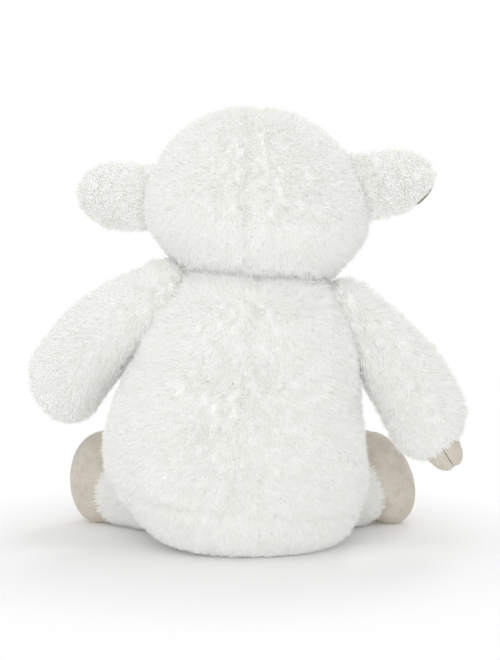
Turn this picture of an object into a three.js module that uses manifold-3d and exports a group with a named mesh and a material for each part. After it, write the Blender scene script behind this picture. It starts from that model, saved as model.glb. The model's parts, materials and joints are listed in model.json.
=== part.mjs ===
// A seated plush lamb: pile-fabric covers sewn over stuffing, with smooth hooves, a muzzle and safety eyes.
// Millimetres, +Z up. The toy faces -Y and its left side is +X. The origin is on the floor, under the seat.
import * as THREE from "three";
import { mergeVertices } from "three/addons/utils/BufferGeometryUtils.js";
import Module from "manifold-3d";

const wasm = await Module();
wasm.setup();

// Fabrics and fits
const pile = 6; // white pile fabric, backing and fur together
const velour = 2.5; // smooth fabric of the hooves and the muzzle
const pouchCloth = 1.2; // cloth of the bean pouch
const rootCloth = 2; // limb covers where they face the torso
const fit = 0.4; // gap between pieces that touch
const seam = 0.4; // gap between two panels at a seam
const floorFlat = 0.5; // how far a form is pressed flat by the floor

// Torso: a pear that leans to its right as it sits
const torsoWidth = 177; // widest, across the hips
const torsoDepth = 146; // front to back at the hips
const hipHeight = 50; // height of the widest ring
const seatWidth = 124; // width where the seat turns up from the floor
const chestWidth = 150;
const chestHeight = 118;
const collarWidth = 116;
const collarHeight = 166;
const crownHeight = 226; // where the pear would close, above the neck cut
const seatSeamHeight = 32; // seam between the back, belly and seat panels
const torsoLean = 5; // degrees to the toy's right

// Neck: a firm wad of stuffing that carries the head
const neckHeight = 188;
const neckGap = 9; // between the torso's rim and the underside of the head
const neckRadius = 28;

// Head
const headWidth = 148;
const headDepth = 140;
const headRise = 72; // from the widest ring up to the crown
const headDrop = 46; // from the widest ring down to the underside, before the neck cut
const headLift = 36; // widest ring above the neck
const headTilt = 8; // degrees to the toy's left, against the lean
const headTurn = -7; // degrees about the neck at rest

// Muzzle, sewn into the front of the head
const muzzleWidth = 70;
const muzzleHeight = 60;
const muzzleReach = 26; // how far it stands out of the head
const muzzleDepth = 96;
const muzzleLift = 38; // above the neck
const noseWidth = 20;
const noseHeight = 13;
const noseThickness = 1.4;
const noseLift = 11; // above the middle of the muzzle
const mouthDrop = 10; // length of the stitched line under the nose
const mouthSpread = 11; // half width of the stitched smile
const mouthStitch = 1.8; // width of the stitched line
const mouthThickness = 1;

// Safety eyes with shanks and locking washers
const eyeRadius = 6.5;
const eyeDome = 4.5;
const eyeSink = 1.2; // how deep the eye presses into the pile
const eyeBearing = 35; // degrees from the middle of the face
const eyeLift = 17; // above the widest ring of the head
const shankRadius = 1.8;
const shankLength = 13;
const washerRadius = 7.5;
const washerThickness = 1.6;

// Ears: leaves that stand out sideways, pile behind and lining in front
const earLength = 45;
const earWidth = 42; // widest, a little way out
const earRootWidth = 38;
const earPile = 5;
const earLining = 2;
const earCup = 7; // how far the long edges curl forward
const earRise = 17; // root above the widest ring of the head
const earTilt = { left: 5, right: 8 }; // degrees up from level

// Arms: narrow at the shoulder, full at the forearm, bowed outward
const armRootRadius = 22;
const armRadius = 28;
const armDepthRadius = 25;
const armFullAt = 95; // distance of the fullest ring from the shoulder
const armLength = 126;
const armBow = 8;
const armOut = 4; // shoulder joint outside the torso's side
const shoulderGap = 3.5; // between the arm's top and the underside of the head
const armSpread = { left: 39, right: 38 }; // degrees out from hanging
const armForward = { left: 20, right: 4 }; // degrees forward at rest
const handHoofRadius = 14;
const handHoofLength = 34;
const handHoofReach = 11; // how far it stands out of the hand
const handTurn = { left: 55, right: 0 }; // degrees that the hoof points forward of the arm

// Legs: short, lying on the floor, with tall hooves
const legRootRadius = 26;
const legRadius = 27;
const legLength = 55;
const hipBearing = 52; // degrees from straight ahead to each hip
const hipInset = 2; // hip joint inside the torso's surface
const legSplay = { left: 44, right: 58 }; // degrees outward from straight ahead
const legLift = 25; // degrees that a leg swings up at the hip
const legDrop = 20; // degrees that it swings down when the toy is picked up
const footHoofWidth = 58;
const footHoofHeight = 69;
const footHoofLength = 46;
const footHoofAt = { left: 50, right: 53 }; // middle of the hoof from the hip
const footTilt = { left: 5, right: 20 }; // degrees that the toe leans back

// Bean pouch in the seat
const pouchWidth = 88;
const pouchDepth = 70;
const pouchHeight = 34;
const pouchBack = 12; // behind the middle of the seat
const pouchMouth = 7; // radius of the filling hole

// Tessellation
const torsoRings = 10;
const torsoSides = 18;
const headRings = 9;
const headSides = 18;
const limbRings = 9;
const limbSides = 10;
const earRings = 8;
const earSides = 8;
const ballSides = 10;
const ballRings = 7;
const cupSides = 10;
const cupRings = 6;
const sweepSides = 16;
const sweepRings = 7;
const stitchSteps = 4;
const reach = 1000; // larger than the toy, for cutting boxes

const radians = THREE.MathUtils.degToRad;
const signOf = { left: 1, right: -1 };
const bothSides = ["left", "right"];

const whitePile = { color: 0xebece7, roughness: 0.95, metalness: 0 };
const taupeVelour = { color: 0xc8beb0, roughness: 0.9, metalness: 0 };
const greyLining = { color: 0x9a978e, roughness: 0.9, metalness: 0 };
const polyesterFill = { color: 0xf6f5f1, roughness: 1, metalness: 0 };
const pouchCotton = { color: 0xe6dfd0, roughness: 0.95, metalness: 0 };
const pelletPlastic = { color: 0xdde2e6, roughness: 0.5, metalness: 0 };
const washerPlastic = { color: 0xe8e8e4, roughness: 0.5, metalness: 0 };
const eyePlastic = { color: 0x17110e, roughness: 0.12, metalness: 0 };
const brownThread = { color: 0x6d5a4f, roughness: 0.7, metalness: 0 };

// Closed meshes to solids and back
function toSolid(geometry) {
  const bare = new THREE.BufferGeometry();
  bare.setAttribute("position", geometry.getAttribute("position"));
  bare.setIndex(geometry.getIndex());
  const merged = mergeVertices(bare, 1e-4);
  const corners = merged.getIndex().array;
  const kept = [];
  for (let i = 0; i < corners.length; i += 3) {
    const [a, b, c] = corners.slice(i, i + 3);
    if (a !== b && b !== c && c !== a) {
      kept.push(a, b, c);
    }
  }
  return new wasm.Manifold(new wasm.Mesh({
    numProp: 3,
    vertProperties: new Float32Array(merged.getAttribute("position").array),
    triVerts: new Uint32Array(kept),
  }));
}

function toGeometry(solid) {
  const mesh = solid.getMesh();
  const geometry = new THREE.BufferGeometry();
  geometry.setAttribute("position", new THREE.BufferAttribute(new Float32Array(mesh.vertProperties), 3));
  geometry.setIndex(new THREE.BufferAttribute(new Uint32Array(mesh.triVerts), 1));
  geometry.computeVertexNormals();
  return geometry;
}

function addPiece(group, name, solid, finish) {
  const mesh = new THREE.Mesh(toGeometry(solid), new THREE.MeshStandardMaterial(finish));
  mesh.name = name;
  group.add(mesh);
}

// A geometry made in one group's axes, as a solid in another group's axes
function seenFrom(target, geometry, source) {
  const move = target.matrixWorld.clone().invert().multiply(source.matrixWorld);
  return toSolid(geometry.clone().applyMatrix4(move));
}

// Everything on one side of a level: axis 0, 1 or 2, and side +1 for above it or -1 for below
function beyond(axis, level, side) {
  const box = new THREE.BoxGeometry(reach, reach, reach);
  const shift = [0, 0, 0];
  shift[axis] = level + (side * reach) / 2;
  return box.translate(...shift);
}

function halfSpace(axis, level, side) {
  return toSolid(beyond(axis, level, side));
}

// A ball whose facets all lie outside its radius, for cups and holes.
// It is turned by half a facet, so that the corners of what it holds meet its flats.
function cup(radius) {
  const slack = Math.cos(Math.PI / cupSides) * Math.cos(Math.PI / (2 * cupRings));
  return new THREE.SphereGeometry(radius / slack, cupSides, cupRings).rotateY(Math.PI / cupSides);
}

function ellipsoid(width, depth, height, grow) {
  const ball = new THREE.SphereGeometry(1, ballSides, ballRings);
  return ball.scale(width / 2 + grow, depth / 2 + grow, height / 2 + grow);
}

// A stuffed form: an outline of (radius, height) carried round as oval rings between two poles.
// The returned function offsets the skin by a given thickness, outward when positive.
function stuffedForm({ outline, deep = 1, bend = () => 0, rings, sides }) {
  return (grow) => {
    const positions = [];
    const index = [];
    for (let i = 0; i <= rings; i += 1) {
      const point = outline.getPointAt(i / rings);
      const along = outline.getTangentAt(i / rings);
      const height = point.y - along.x * grow;
      const isPole = i === 0 || i === rings;
      for (let j = 0; j < (isPole ? 1 : sides); j += 1) {
        const angle = (2 * Math.PI * j) / sides;
        const across = isPole ? 0 : (point.x + along.y * grow) * Math.cos(angle);
        const through = isPole ? 0 : (point.x * deep + along.y * grow) * Math.sin(angle);
        positions.push(across + bend(point.y), through, height);
      }
    }
    const top = positions.length / 3 - 1;
    const at = (ring, j) => 1 + (ring - 1) * sides + (j % sides);
    for (let j = 0; j < sides; j += 1) {
      index.push(0, at(1, j + 1), at(1, j));
      index.push(top, at(rings - 1, j), at(rings - 1, j + 1));
      for (let ring = 1; ring < rings - 1; ring += 1) {
        index.push(at(ring, j), at(ring, j + 1), at(ring + 1, j + 1));
        index.push(at(ring, j), at(ring + 1, j + 1), at(ring + 1, j));
      }
    }
    const geometry = new THREE.BufferGeometry();
    geometry.setAttribute("position", new THREE.Float32BufferAttribute(positions, 3));
    geometry.setIndex(index);
    return geometry;
  };
}

// Torso outline, from the seat up to where the pear would close
const torsoOutline = new THREE.SplineCurve([
  new THREE.Vector2(0, 0),
  new THREE.Vector2(seatWidth / 2, 0),
  new THREE.Vector2(torsoWidth / 2, hipHeight),
  new THREE.Vector2(chestWidth / 2, chestHeight),
  new THREE.Vector2(collarWidth / 2, collarHeight),
  new THREE.Vector2(0, crownHeight),
]);
const torsoFlatness = torsoDepth / torsoWidth;
const torso = stuffedForm({
  outline: torsoOutline,
  deep: torsoFlatness,
  rings: torsoRings,
  sides: torsoSides,
});

// Half width of the torso at a height
function torsoReachAt(height) {
  const samples = torsoOutline.getPoints(200);
  return samples.find((point) => point.y >= height).x;
}

const headOutline = new THREE.Path();
headOutline.absellipse(0, headLift, headWidth / 2, headDrop, -Math.PI / 2, 0);
headOutline.absellipse(0, headLift, headWidth / 2, headRise, 0, Math.PI / 2);
const head = stuffedForm({
  outline: headOutline,
  deep: headDepth / headWidth,
  rings: headRings,
  sides: headSides,
});

// Half width of the head at a height, on its facets
function headReachAt(height) {
  const rings = Array.from({ length: headRings + 1 }, (_, i) => headOutline.getPointAt(i / headRings));
  const above = rings.findIndex((point) => point.y > height);
  const low = rings[above - 1];
  const high = rings[above];
  return THREE.MathUtils.mapLinear(height, low.y, high.y, low.x, high.x);
}

// Groups: each moving group has its origin on its joint
const lamb = new THREE.Group();
const trunk = new THREE.Group();
trunk.name = "trunk";
trunk.position.z = -floorFlat;
trunk.rotation.y = -radians(torsoLean);
lamb.add(trunk);

const neck = new THREE.Group();
neck.name = "neck";
neck.position.z = neckHeight;
trunk.add(neck);

const headGroup = new THREE.Group();
headGroup.name = "head";
headGroup.rotation.set(0, radians(headTilt), radians(headTurn));
neck.add(headGroup);

const underHead = neckHeight + neckGap / 2;
const shoulderHeight = underHead - shoulderGap - armRootRadius;
const earHinge = earPile + fit;
const earLevel = headLift + earRise;
const hipHeightAboveFloor = legRadius - floorFlat;

function hipPlace(sign) {
  const halfWidth = torsoReachAt(hipHeightAboveFloor);
  const bearing = radians(hipBearing);
  const outward = Math.sin(bearing) / halfWidth;
  const ahead = Math.cos(bearing) / (halfWidth * torsoFlatness);
  const distance = 1 / Math.hypot(outward, ahead) - hipInset;
  return [sign * distance * Math.sin(bearing), -distance * Math.cos(bearing), hipHeightAboveFloor];
}

const arms = {};
const ears = {};
const legs = {};
for (const side of bothSides) {
  const sign = signOf[side];
  arms[side] = new THREE.Group();
  arms[side].name = `arm_${side}`;
  arms[side].position.set(sign * (torsoReachAt(shoulderHeight) + armOut), 0, shoulderHeight);
  arms[side].rotation.set(-radians(armForward[side]), -sign * radians(armSpread[side]), 0);
  trunk.add(arms[side]);

  ears[side] = new THREE.Group();
  ears[side].name = `ear_${side}`;
  ears[side].position.set(sign * (headReachAt(earLevel) + earHinge), 0, earLevel);
  ears[side].rotation.y = -sign * radians(earTilt[side]);
  headGroup.add(ears[side]);

  legs[side] = new THREE.Group();
  legs[side].name = `leg_${side}`;
  legs[side].position.set(...hipPlace(sign));
  legs[side].rotation.z = sign * radians(legSplay[side]);
  lamb.add(legs[side]);
}
lamb.updateMatrixWorld(true);

// Everything under a level above the floor, in a group's own axes
function belowFloor(group, level) {
  return seenFrom(group, beyond(2, level, -1), lamb);
}

// The ball about a joint in which a limb's round root turns, inside its hole in the torso.
// Layers that keep further off the torso have a smaller one.
function rootSpace(rootRadius, grow) {
  const insideHole = rootRadius + fit / 2;
  return toSolid(new THREE.SphereGeometry(insideHole + fit - grow, 2 * cupSides, 2 * cupRings));
}

// The space that an arm keeps off while it swings: the torso's side outline turned about the shoulder's axis,
// because straight down is where the torso reaches furthest into the arm's path
function shoulderSweep(side, grow) {
  const sign = signOf[side];
  const pivot = arms[side].position;
  const furthest = pivot.z - hipHeight;
  const profile = [new THREE.Vector2(0, -torsoWidth), new THREE.Vector2(reach / 4, -torsoWidth)];
  profile.push(new THREE.Vector2(reach / 4, torsoWidth / 2 + grow - Math.abs(pivot.x)));
  for (let i = 0; i <= sweepRings; i += 1) {
    const away = THREE.MathUtils.lerp(furthest, 0, i / sweepRings);
    profile.push(new THREE.Vector2(away, torsoReachAt(pivot.z - away) + grow - Math.abs(pivot.x)));
  }
  const turned = new THREE.LatheGeometry(profile, sweepSides).rotateZ((-sign * Math.PI) / 2);
  const swept = seenFrom(arms[side], turned.translate(pivot.x, pivot.y, pivot.z), trunk);
  return [swept.subtract(rootSpace(armRootRadius, grow))];
}

// The space that a leg keeps off: all behind the plane that just touches the torso in front of the hip,
// as the leg meets that plane at the top and at the bottom of its swing
function hipSweep(side, grow) {
  const skin = toGeometry(seenFrom(legs[side], torso(grow), trunk));
  skin.computeBoundingBox();
  return [legLift, -legDrop].map((angle) => {
    const behind = beyond(1, skin.boundingBox.min.y, 1).rotateX(radians(angle));
    return toSolid(behind).subtract(rootSpace(legRootRadius, grow));
  });
}

// Holes for the limbs' roots, in the trunk's axes
function limbHoles() {
  const holes = [seenFrom(trunk, cup(neckRadius + fit), neck)];
  for (const side of bothSides) {
    holes.push(seenFrom(trunk, cup(armRootRadius + fit), arms[side]));
    holes.push(seenFrom(trunk, cup(legRootRadius + fit), legs[side]));
  }
  return holes;
}

// Bean pouch, lying on the seat panel
function pouch(grow) {
  const middle = pile + fit + pouchHeight / 2 - pouchCloth;
  const bag = ellipsoid(pouchWidth, pouchDepth, pouchHeight, grow).translate(0, pouchBack, middle);
  return seenFrom(trunk, bag, lamb);
}

function makeTorso() {
  const rim = neckHeight - neckGap / 2;
  const aboveRim = halfSpace(2, rim, 1);
  const hollow = toSolid(torso(-pile)).subtract(belowFloor(trunk, pile));
  let cover = toSolid(torso(0)).subtract(belowFloor(trunk, 0)).subtract(hollow).subtract(aboveRim);
  let fill = toSolid(torso(-pile - fit)).subtract(belowFloor(trunk, pile + fit)).subtract(aboveRim);
  for (const hole of limbHoles()) {
    cover = cover.subtract(hole);
    fill = fill.subtract(hole);
  }
  fill = fill.subtract(pouch(fit));

  const upper = cover.intersect(halfSpace(2, seatSeamHeight + seam / 2, 1));
  const back = upper.intersect(halfSpace(1, seam / 2, 1));
  addPiece(trunk, "torso_back_left", back.intersect(halfSpace(0, seam / 2, 1)), whitePile);
  addPiece(trunk, "torso_back_right", back.intersect(halfSpace(0, -seam / 2, -1)), whitePile);
  addPiece(trunk, "torso_belly", upper.intersect(halfSpace(1, -seam / 2, -1)), whitePile);
  addPiece(trunk, "torso_seat", cover.intersect(halfSpace(2, seatSeamHeight - seam / 2, -1)), whitePile);
  addPiece(trunk, "torso_fill", fill, polyesterFill);

  const onSeat = pile + fit;
  const bag = pouch(0).subtract(belowFloor(trunk, onSeat));
  const bagHollow = pouch(-pouchCloth).subtract(belowFloor(trunk, onSeat + pouchCloth));
  const mouth = new THREE.CylinderGeometry(pouchMouth, pouchMouth, pouchHeight, ballSides);
  mouth.rotateX(Math.PI / 2).translate(0, pouchBack, onSeat + pouchHeight);
  addPiece(trunk, "bean_pouch", bag.subtract(bagHollow).subtract(seenFrom(trunk, mouth, lamb)), pouchCotton);
  const beans = pouch(-pouchCloth - fit).subtract(belowFloor(trunk, onSeat + pouchCloth + fit));
  addPiece(trunk, "bean_pellets", beans, pelletPlastic);
}

function makeNeck() {
  const wad = new THREE.SphereGeometry(neckRadius, ballSides, ballRings);
  addPiece(neck, "neck_fill", toSolid(wad), polyesterFill);
}

const muzzleMiddle = muzzleDepth / 2 - headDepth / 2 - muzzleReach;

function muzzle(grow) {
  return ellipsoid(muzzleWidth, muzzleDepth, muzzleHeight, grow).translate(0, muzzleMiddle, muzzleLift);
}

// Places a geometry made along +Z, base at z = 0, square to the head's surface at an eye
function atEye(geometry, sign) {
  const bearing = radians(eyeBearing) * sign;
  const ring = Math.sqrt(1 - (eyeLift / headRise) ** 2);
  const place = new THREE.Vector3(
    (headWidth / 2) * ring * Math.sin(bearing),
    (-headDepth / 2) * ring * Math.cos(bearing),
    headLift + eyeLift,
  );
  const outward = new THREE.Vector3(
    place.x / (headWidth / 2) ** 2,
    place.y / (headDepth / 2) ** 2,
    eyeLift / headRise ** 2,
  ).normalize();
  const turn = new THREE.Quaternion().setFromUnitVectors(new THREE.Vector3(0, 0, 1), outward);
  return geometry.applyQuaternion(turn).translate(place.x, place.y, place.z);
}

// A round bar along +Z between two levels
function bar(radius, from, to) {
  const rod = new THREE.CylinderGeometry(radius, radius, to - from, ballSides).rotateX(Math.PI / 2);
  return rod.translate(0, 0, (from + to) / 2);
}

// Domed button and shank turned as one profile, its back at z = 0
function eyeButton() {
  const profile = [new THREE.Vector2(0, -shankLength), new THREE.Vector2(shankRadius, -shankLength)];
  profile.push(new THREE.Vector2(shankRadius, 0));
  const domeSteps = 5;
  for (let i = 0; i < domeSteps; i += 1) {
    const angle = (Math.PI / 2) * (i / domeSteps);
    profile.push(new THREE.Vector2(eyeRadius * Math.cos(angle), eyeDome * Math.sin(angle)));
  }
  profile.push(new THREE.Vector2(0, eyeDome));
  return new THREE.LatheGeometry(profile, ballSides).rotateX(Math.PI / 2);
}

const washerTop = -pile - eyeSink;

function makeEye(side) {
  const sign = signOf[side];
  const back = fit - eyeSink;
  addPiece(headGroup, `eye_${side}`, toSolid(atEye(eyeButton().translate(0, 0, back), sign)), eyePlastic);
  const washer = toSolid(atEye(bar(washerRadius, washerTop - washerThickness, washerTop), sign));
  const bore = toSolid(atEye(bar(shankRadius + fit / 2, -reach / 2, reach / 2), sign));
  addPiece(headGroup, `eye_washer_${side}`, washer.subtract(bore), washerPlastic);
}

// A thin sewn shape on the muzzle: an outline seen from the front, as thick as its thread
function stitchedOnMuzzle(shape, thickness) {
  const settings = { depth: reach, bevelEnabled: false, curveSegments: stitchSteps };
  const prism = new THREE.ExtrudeGeometry(shape, settings);
  prism.rotateX(Math.PI / 2).translate(0, muzzleMiddle, muzzleLift);
  return toSolid(muzzle(fit + thickness)).subtract(toSolid(muzzle(fit))).intersect(toSolid(prism));
}

// Nose: a rounded triangle, broad edge up
function noseShape() {
  const shape = new THREE.Shape();
  const half = noseWidth / 2;
  const top = noseLift + noseHeight / 2;
  const bottom = noseLift - noseHeight / 2;
  shape.moveTo(0, bottom);
  shape.quadraticCurveTo(half, bottom + noseHeight / 3, half, top - noseHeight / 4);
  shape.quadraticCurveTo(half, top, half / 2, top);
  shape.lineTo(-half / 2, top);
  shape.quadraticCurveTo(-half, top, -half, top - noseHeight / 4);
  shape.quadraticCurveTo(-half, bottom + noseHeight / 3, 0, bottom);
  return shape;
}

// Mouth: a stem under the nose that parts into two short curves
function mouthShape() {
  const shape = new THREE.Shape();
  const half = mouthStitch / 2;
  const top = noseLift - noseHeight / 2 - fit;
  const fork = top - mouthDrop;
  const low = fork - mouthSpread / 3;
  shape.moveTo(half, top);
  shape.lineTo(half, fork);
  shape.quadraticCurveTo(mouthSpread * 0.6, low, mouthSpread, fork);
  shape.lineTo(mouthSpread, fork - mouthStitch);
  shape.quadraticCurveTo(mouthSpread * 0.6, low - mouthStitch, 0, fork - mouthStitch);
  shape.quadraticCurveTo(-mouthSpread * 0.6, low - mouthStitch, -mouthSpread, fork - mouthStitch);
  shape.lineTo(-mouthSpread, fork);
  shape.quadraticCurveTo(-mouthSpread * 0.6, low, -half, fork);
  shape.lineTo(-half, top);
  return shape;
}

function makeHead() {
  const under = (level) => seenFrom(headGroup, beyond(2, level - neckHeight, -1), neck);
  const neckHole = seenFrom(headGroup, cup(neckRadius + fit), neck);
  const hollow = toSolid(head(-pile)).subtract(under(underHead + pile));
  let cover = toSolid(head(0)).subtract(under(underHead)).subtract(hollow);
  cover = cover.subtract(neckHole).subtract(toSolid(muzzle(fit)));
  let fill = toSolid(head(-pile - fit)).subtract(under(underHead + pile + fit));
  fill = fill.add(toSolid(muzzle(-velour - fit))).subtract(neckHole);
  for (const side of bothSides) {
    const sign = signOf[side];
    const seat = toSolid(atEye(bar(eyeRadius + fit, -eyeSink, reach), sign));
    const bore = toSolid(atEye(bar(shankRadius + fit / 2, -reach / 2, reach / 2), sign));
    const pocket = (top) => toSolid(atEye(bar(washerRadius + fit, -shankLength - eyeSink - fit, top), sign));
    cover = cover.subtract(seat).subtract(bore.subtract(halfSpace(1, 0, 1)));
    cover = cover.subtract(pocket(washerTop + fit));
    fill = fill.subtract(pocket(0));
    makeEye(side);
  }
  addPiece(headGroup, "head_left", cover.intersect(halfSpace(0, seam / 2, 1)), whitePile);
  addPiece(headGroup, "head_right", cover.intersect(halfSpace(0, -seam / 2, -1)), whitePile);
  addPiece(headGroup, "head_fill", fill, polyesterFill);

  const snout = toSolid(muzzle(0)).subtract(toSolid(muzzle(-velour))).subtract(toSolid(head(-pile + fit)));
  addPiece(headGroup, "muzzle", snout, taupeVelour);
  addPiece(headGroup, "nose", stitchedOnMuzzle(noseShape(), noseThickness), brownThread);
  addPiece(headGroup, "mouth", stitchedOnMuzzle(mouthShape(), mouthThickness), brownThread);
}

// One layer of an ear: a leaf along +X or -X from the hinge, flat on the layers' meeting face.
// Its half width swells from the root and closes as an ellipse, and its root is round about the hinge.
function earLayer(sign, thickness, front) {
  const full = 0.4; // share of the length where the leaf is widest
  const positions = [];
  const index = [];
  for (let i = 0; i <= earRings; i += 1) {
    const share = i / earRings;
    const out = THREE.MathUtils.lerp(-thickness, earLength, share);
    const tipward = Math.max(0, (share - full) / (1 - full));
    const rootward = Math.max(0, 1 - share / full);
    const narrow = (earWidth - earRootWidth) * rootward ** 2;
    const half = ((earWidth - narrow) / 2) * Math.sqrt(Math.max(0, 1 - tipward ** 2));
    const round = out < 0 ? Math.sqrt(Math.max(0, 1 - (out / thickness) ** 2)) : 1;
    const thick = thickness * round * Math.sqrt(1 - tipward ** 4);
    const cupped = earCup * THREE.MathUtils.smoothstep(out, 0, earLength / 2);
    const isPole = i === 0 || i === earRings;
    for (let j = 0; j < (isPole ? 1 : earSides); j += 1) {
      const angle = (2 * Math.PI * j) / earSides;
      const across = isPole ? 0 : half * Math.cos(angle);
      const outer = Math.max(0, Math.sin(angle)) * thick;
      const middle = -cupped * (across / (earWidth / 2)) ** 2;
      const through = front ? middle - fit - outer : middle + outer;
      positions.push(sign * out, through, across);
    }
  }
  const top = positions.length / 3 - 1;
  const at = (ring, j) => 1 + (ring - 1) * earSides + (j % earSides);
  const facing = (a, b, c) => (front === sign > 0 ? index.push(a, c, b) : index.push(a, b, c));
  for (let j = 0; j < earSides; j += 1) {
    facing(0, at(1, j), at(1, j + 1));
    facing(top, at(earRings - 1, j + 1), at(earRings - 1, j));
    for (let ring = 1; ring < earRings - 1; ring += 1) {
      facing(at(ring, j), at(ring + 1, j + 1), at(ring, j + 1));
      facing(at(ring, j), at(ring + 1, j), at(ring + 1, j + 1));
    }
  }
  const geometry = new THREE.BufferGeometry();
  geometry.setAttribute("position", new THREE.Float32BufferAttribute(positions, 3));
  geometry.setIndex(index);
  return toSolid(geometry);
}

function makeEar(side) {
  addPiece(ears[side], `ear_${side}_back`, earLayer(signOf[side], earPile, false), whitePile);
  addPiece(ears[side], `ear_${side}_lining`, earLayer(signOf[side], earLining, true), greyLining);
}

// A limb with a hoof sewn into its end: cover, stuffing and the two halves of the hoof.
// All of it is kept off what the limb must clear as it swings, and off the floor.
function makeLimb({ group, side, names, form, hoof, rootRadius, sweep }) {
  const overFloor = (solid, level) => solid.subtract(belowFloor(group, level));
  const clear = (solid, grow) => sweep(side, grow).reduce((rest, taken) => rest.subtract(taken), solid);
  const outer = clear(toSolid(form(0)), fit);
  const hollow = clear(toSolid(form(-pile)), fit + rootCloth);
  const rootOpening = seenFrom(group, beyond(2, -rootRadius / 2, -1).applyMatrix4(form.turn), group);
  let cover = outer.subtract(hollow).subtract(rootOpening).subtract(toSolid(hoof(fit)));
  cover = overFloor(cover, 0);
  addPiece(group, names.cover, cover, whitePile);

  const stuffing = clear(toSolid(form(-pile - fit)), 2 * fit + rootCloth).add(toSolid(hoof(-velour - fit)));
  addPiece(group, names.fill, overFloor(stuffing, velour + fit), polyesterFill);

  const inside = overFloor(toSolid(hoof(-velour)), velour);
  const shell = overFloor(toSolid(hoof(0)), 0).subtract(inside).subtract(toSolid(form(-pile + fit)));
  const sign = signOf[side];
  addPiece(group, names.hoofOuter, shell.intersect(halfSpace(0, (sign * seam) / 2, sign)), taupeVelour);
  addPiece(group, names.hoofInner, shell.intersect(halfSpace(0, (-sign * seam) / 2, -sign)), taupeVelour);
}

// Outline of a limb along +Z: a round root about the joint, a swelling, and a round end
function limbOutline(rootRadius, fullRadius, fullAt, length) {
  const outline = new THREE.Path();
  outline.absarc(0, 0, rootRadius, -Math.PI / 2, 0);
  outline.bezierCurveTo(rootRadius, fullAt / 3, fullRadius, fullAt * 0.6, fullRadius, fullAt);
  outline.absellipse(0, fullAt, fullRadius, length - fullAt, 0, Math.PI / 2);
  return outline;
}

// A limb's form, made along +Z and then turned to lie along the limb's own direction
function turnedForm(settings, turn) {
  const upright = stuffedForm({ rings: limbRings, sides: limbSides, ...settings });
  const form = (grow) => upright(grow).applyMatrix4(turn);
  form.turn = turn;
  return form;
}

function makeArm(side) {
  const sign = signOf[side];
  const hanging = new THREE.Matrix4().makeRotationX(Math.PI);
  const form = turnedForm({
    outline: limbOutline(armRootRadius, armRadius, armFullAt, armLength),
    deep: armDepthRadius / armRadius,
    bend: (along) => sign * armBow * Math.sin(Math.PI * THREE.MathUtils.clamp(along / armLength, 0, 1)),
  }, hanging);
  const hoofMiddle = armLength + handHoofReach - handHoofLength / 2;
  const hoof = (grow) => {
    const tip = ellipsoid(2 * handHoofRadius, 2 * handHoofRadius, handHoofLength, grow);
    tip.translate(0, 0, armFullAt - hoofMiddle).rotateX(-radians(handTurn[side]));
    return tip.translate(0, 0, -armFullAt);
  };
  makeLimb({
    group: arms[side],
    side,
    names: {
      cover: `arm_${side}_cover`,
      fill: `arm_${side}_fill`,
      hoofOuter: `hand_${side}_hoof_outer`,
      hoofInner: `hand_${side}_hoof_inner`,
    },
    form,
    hoof,
    rootRadius: armRootRadius,
    sweep: shoulderSweep,
  });
}

function makeLeg(side) {
  const ahead = new THREE.Matrix4().makeRotationX(Math.PI / 2);
  const form = turnedForm({
    outline: limbOutline(legRootRadius, legRadius, legLength / 2, legLength),
  }, ahead);
  const hoof = (grow) => {
    const foot = ellipsoid(footHoofWidth, footHoofLength, footHoofHeight, grow);
    foot.rotateX(-radians(footTilt[side]));
    return foot.translate(0, -footHoofAt[side], footHoofHeight / 2 - hipHeightAboveFloor - floorFlat);
  };
  makeLimb({
    group: legs[side],
    side,
    names: {
      cover: `leg_${side}_cover`,
      fill: `leg_${side}_fill`,
      hoofOuter: `foot_${side}_hoof_outer`,
      hoofInner: `foot_${side}_hoof_inner`,
    },
    form,
    hoof,
    rootRadius: legRootRadius,
    sweep: hipSweep,
  });
}

makeTorso();
makeNeck();
makeHead();
for (const side of bothSides) {
  makeEar(side);
  makeArm(side);
  makeLeg(side);
}

export default lamb;
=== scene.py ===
import json
import math

import bpy
import numpy as np
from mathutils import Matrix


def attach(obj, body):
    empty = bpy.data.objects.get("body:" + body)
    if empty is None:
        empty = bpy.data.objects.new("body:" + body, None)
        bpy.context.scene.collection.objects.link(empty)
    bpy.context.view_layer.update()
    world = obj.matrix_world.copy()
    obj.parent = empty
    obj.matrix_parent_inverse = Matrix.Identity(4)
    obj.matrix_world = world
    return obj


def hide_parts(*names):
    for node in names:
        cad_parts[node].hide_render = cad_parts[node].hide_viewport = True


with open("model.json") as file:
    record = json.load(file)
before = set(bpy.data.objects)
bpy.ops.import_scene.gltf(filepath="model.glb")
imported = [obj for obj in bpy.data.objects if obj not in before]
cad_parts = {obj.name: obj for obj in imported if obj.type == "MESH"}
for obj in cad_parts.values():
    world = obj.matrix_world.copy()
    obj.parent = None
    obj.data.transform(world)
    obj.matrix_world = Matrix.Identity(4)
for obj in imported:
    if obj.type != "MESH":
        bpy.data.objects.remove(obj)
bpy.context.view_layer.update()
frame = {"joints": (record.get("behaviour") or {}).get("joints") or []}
scene = bpy.context.scene
scene.view_settings.view_transform = "Standard"
mm = 0.001
scene.cycles.diffuse_bounces = 16  # white fibres hand light on many times
scene.cycles.max_bounces = 24
sideSign = {"left": 1, "right": -1}
jointAt = {j["name"]: np.array(j["pos_m"]) / mm for j in frame["joints"]}
print("frame loaded")


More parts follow.
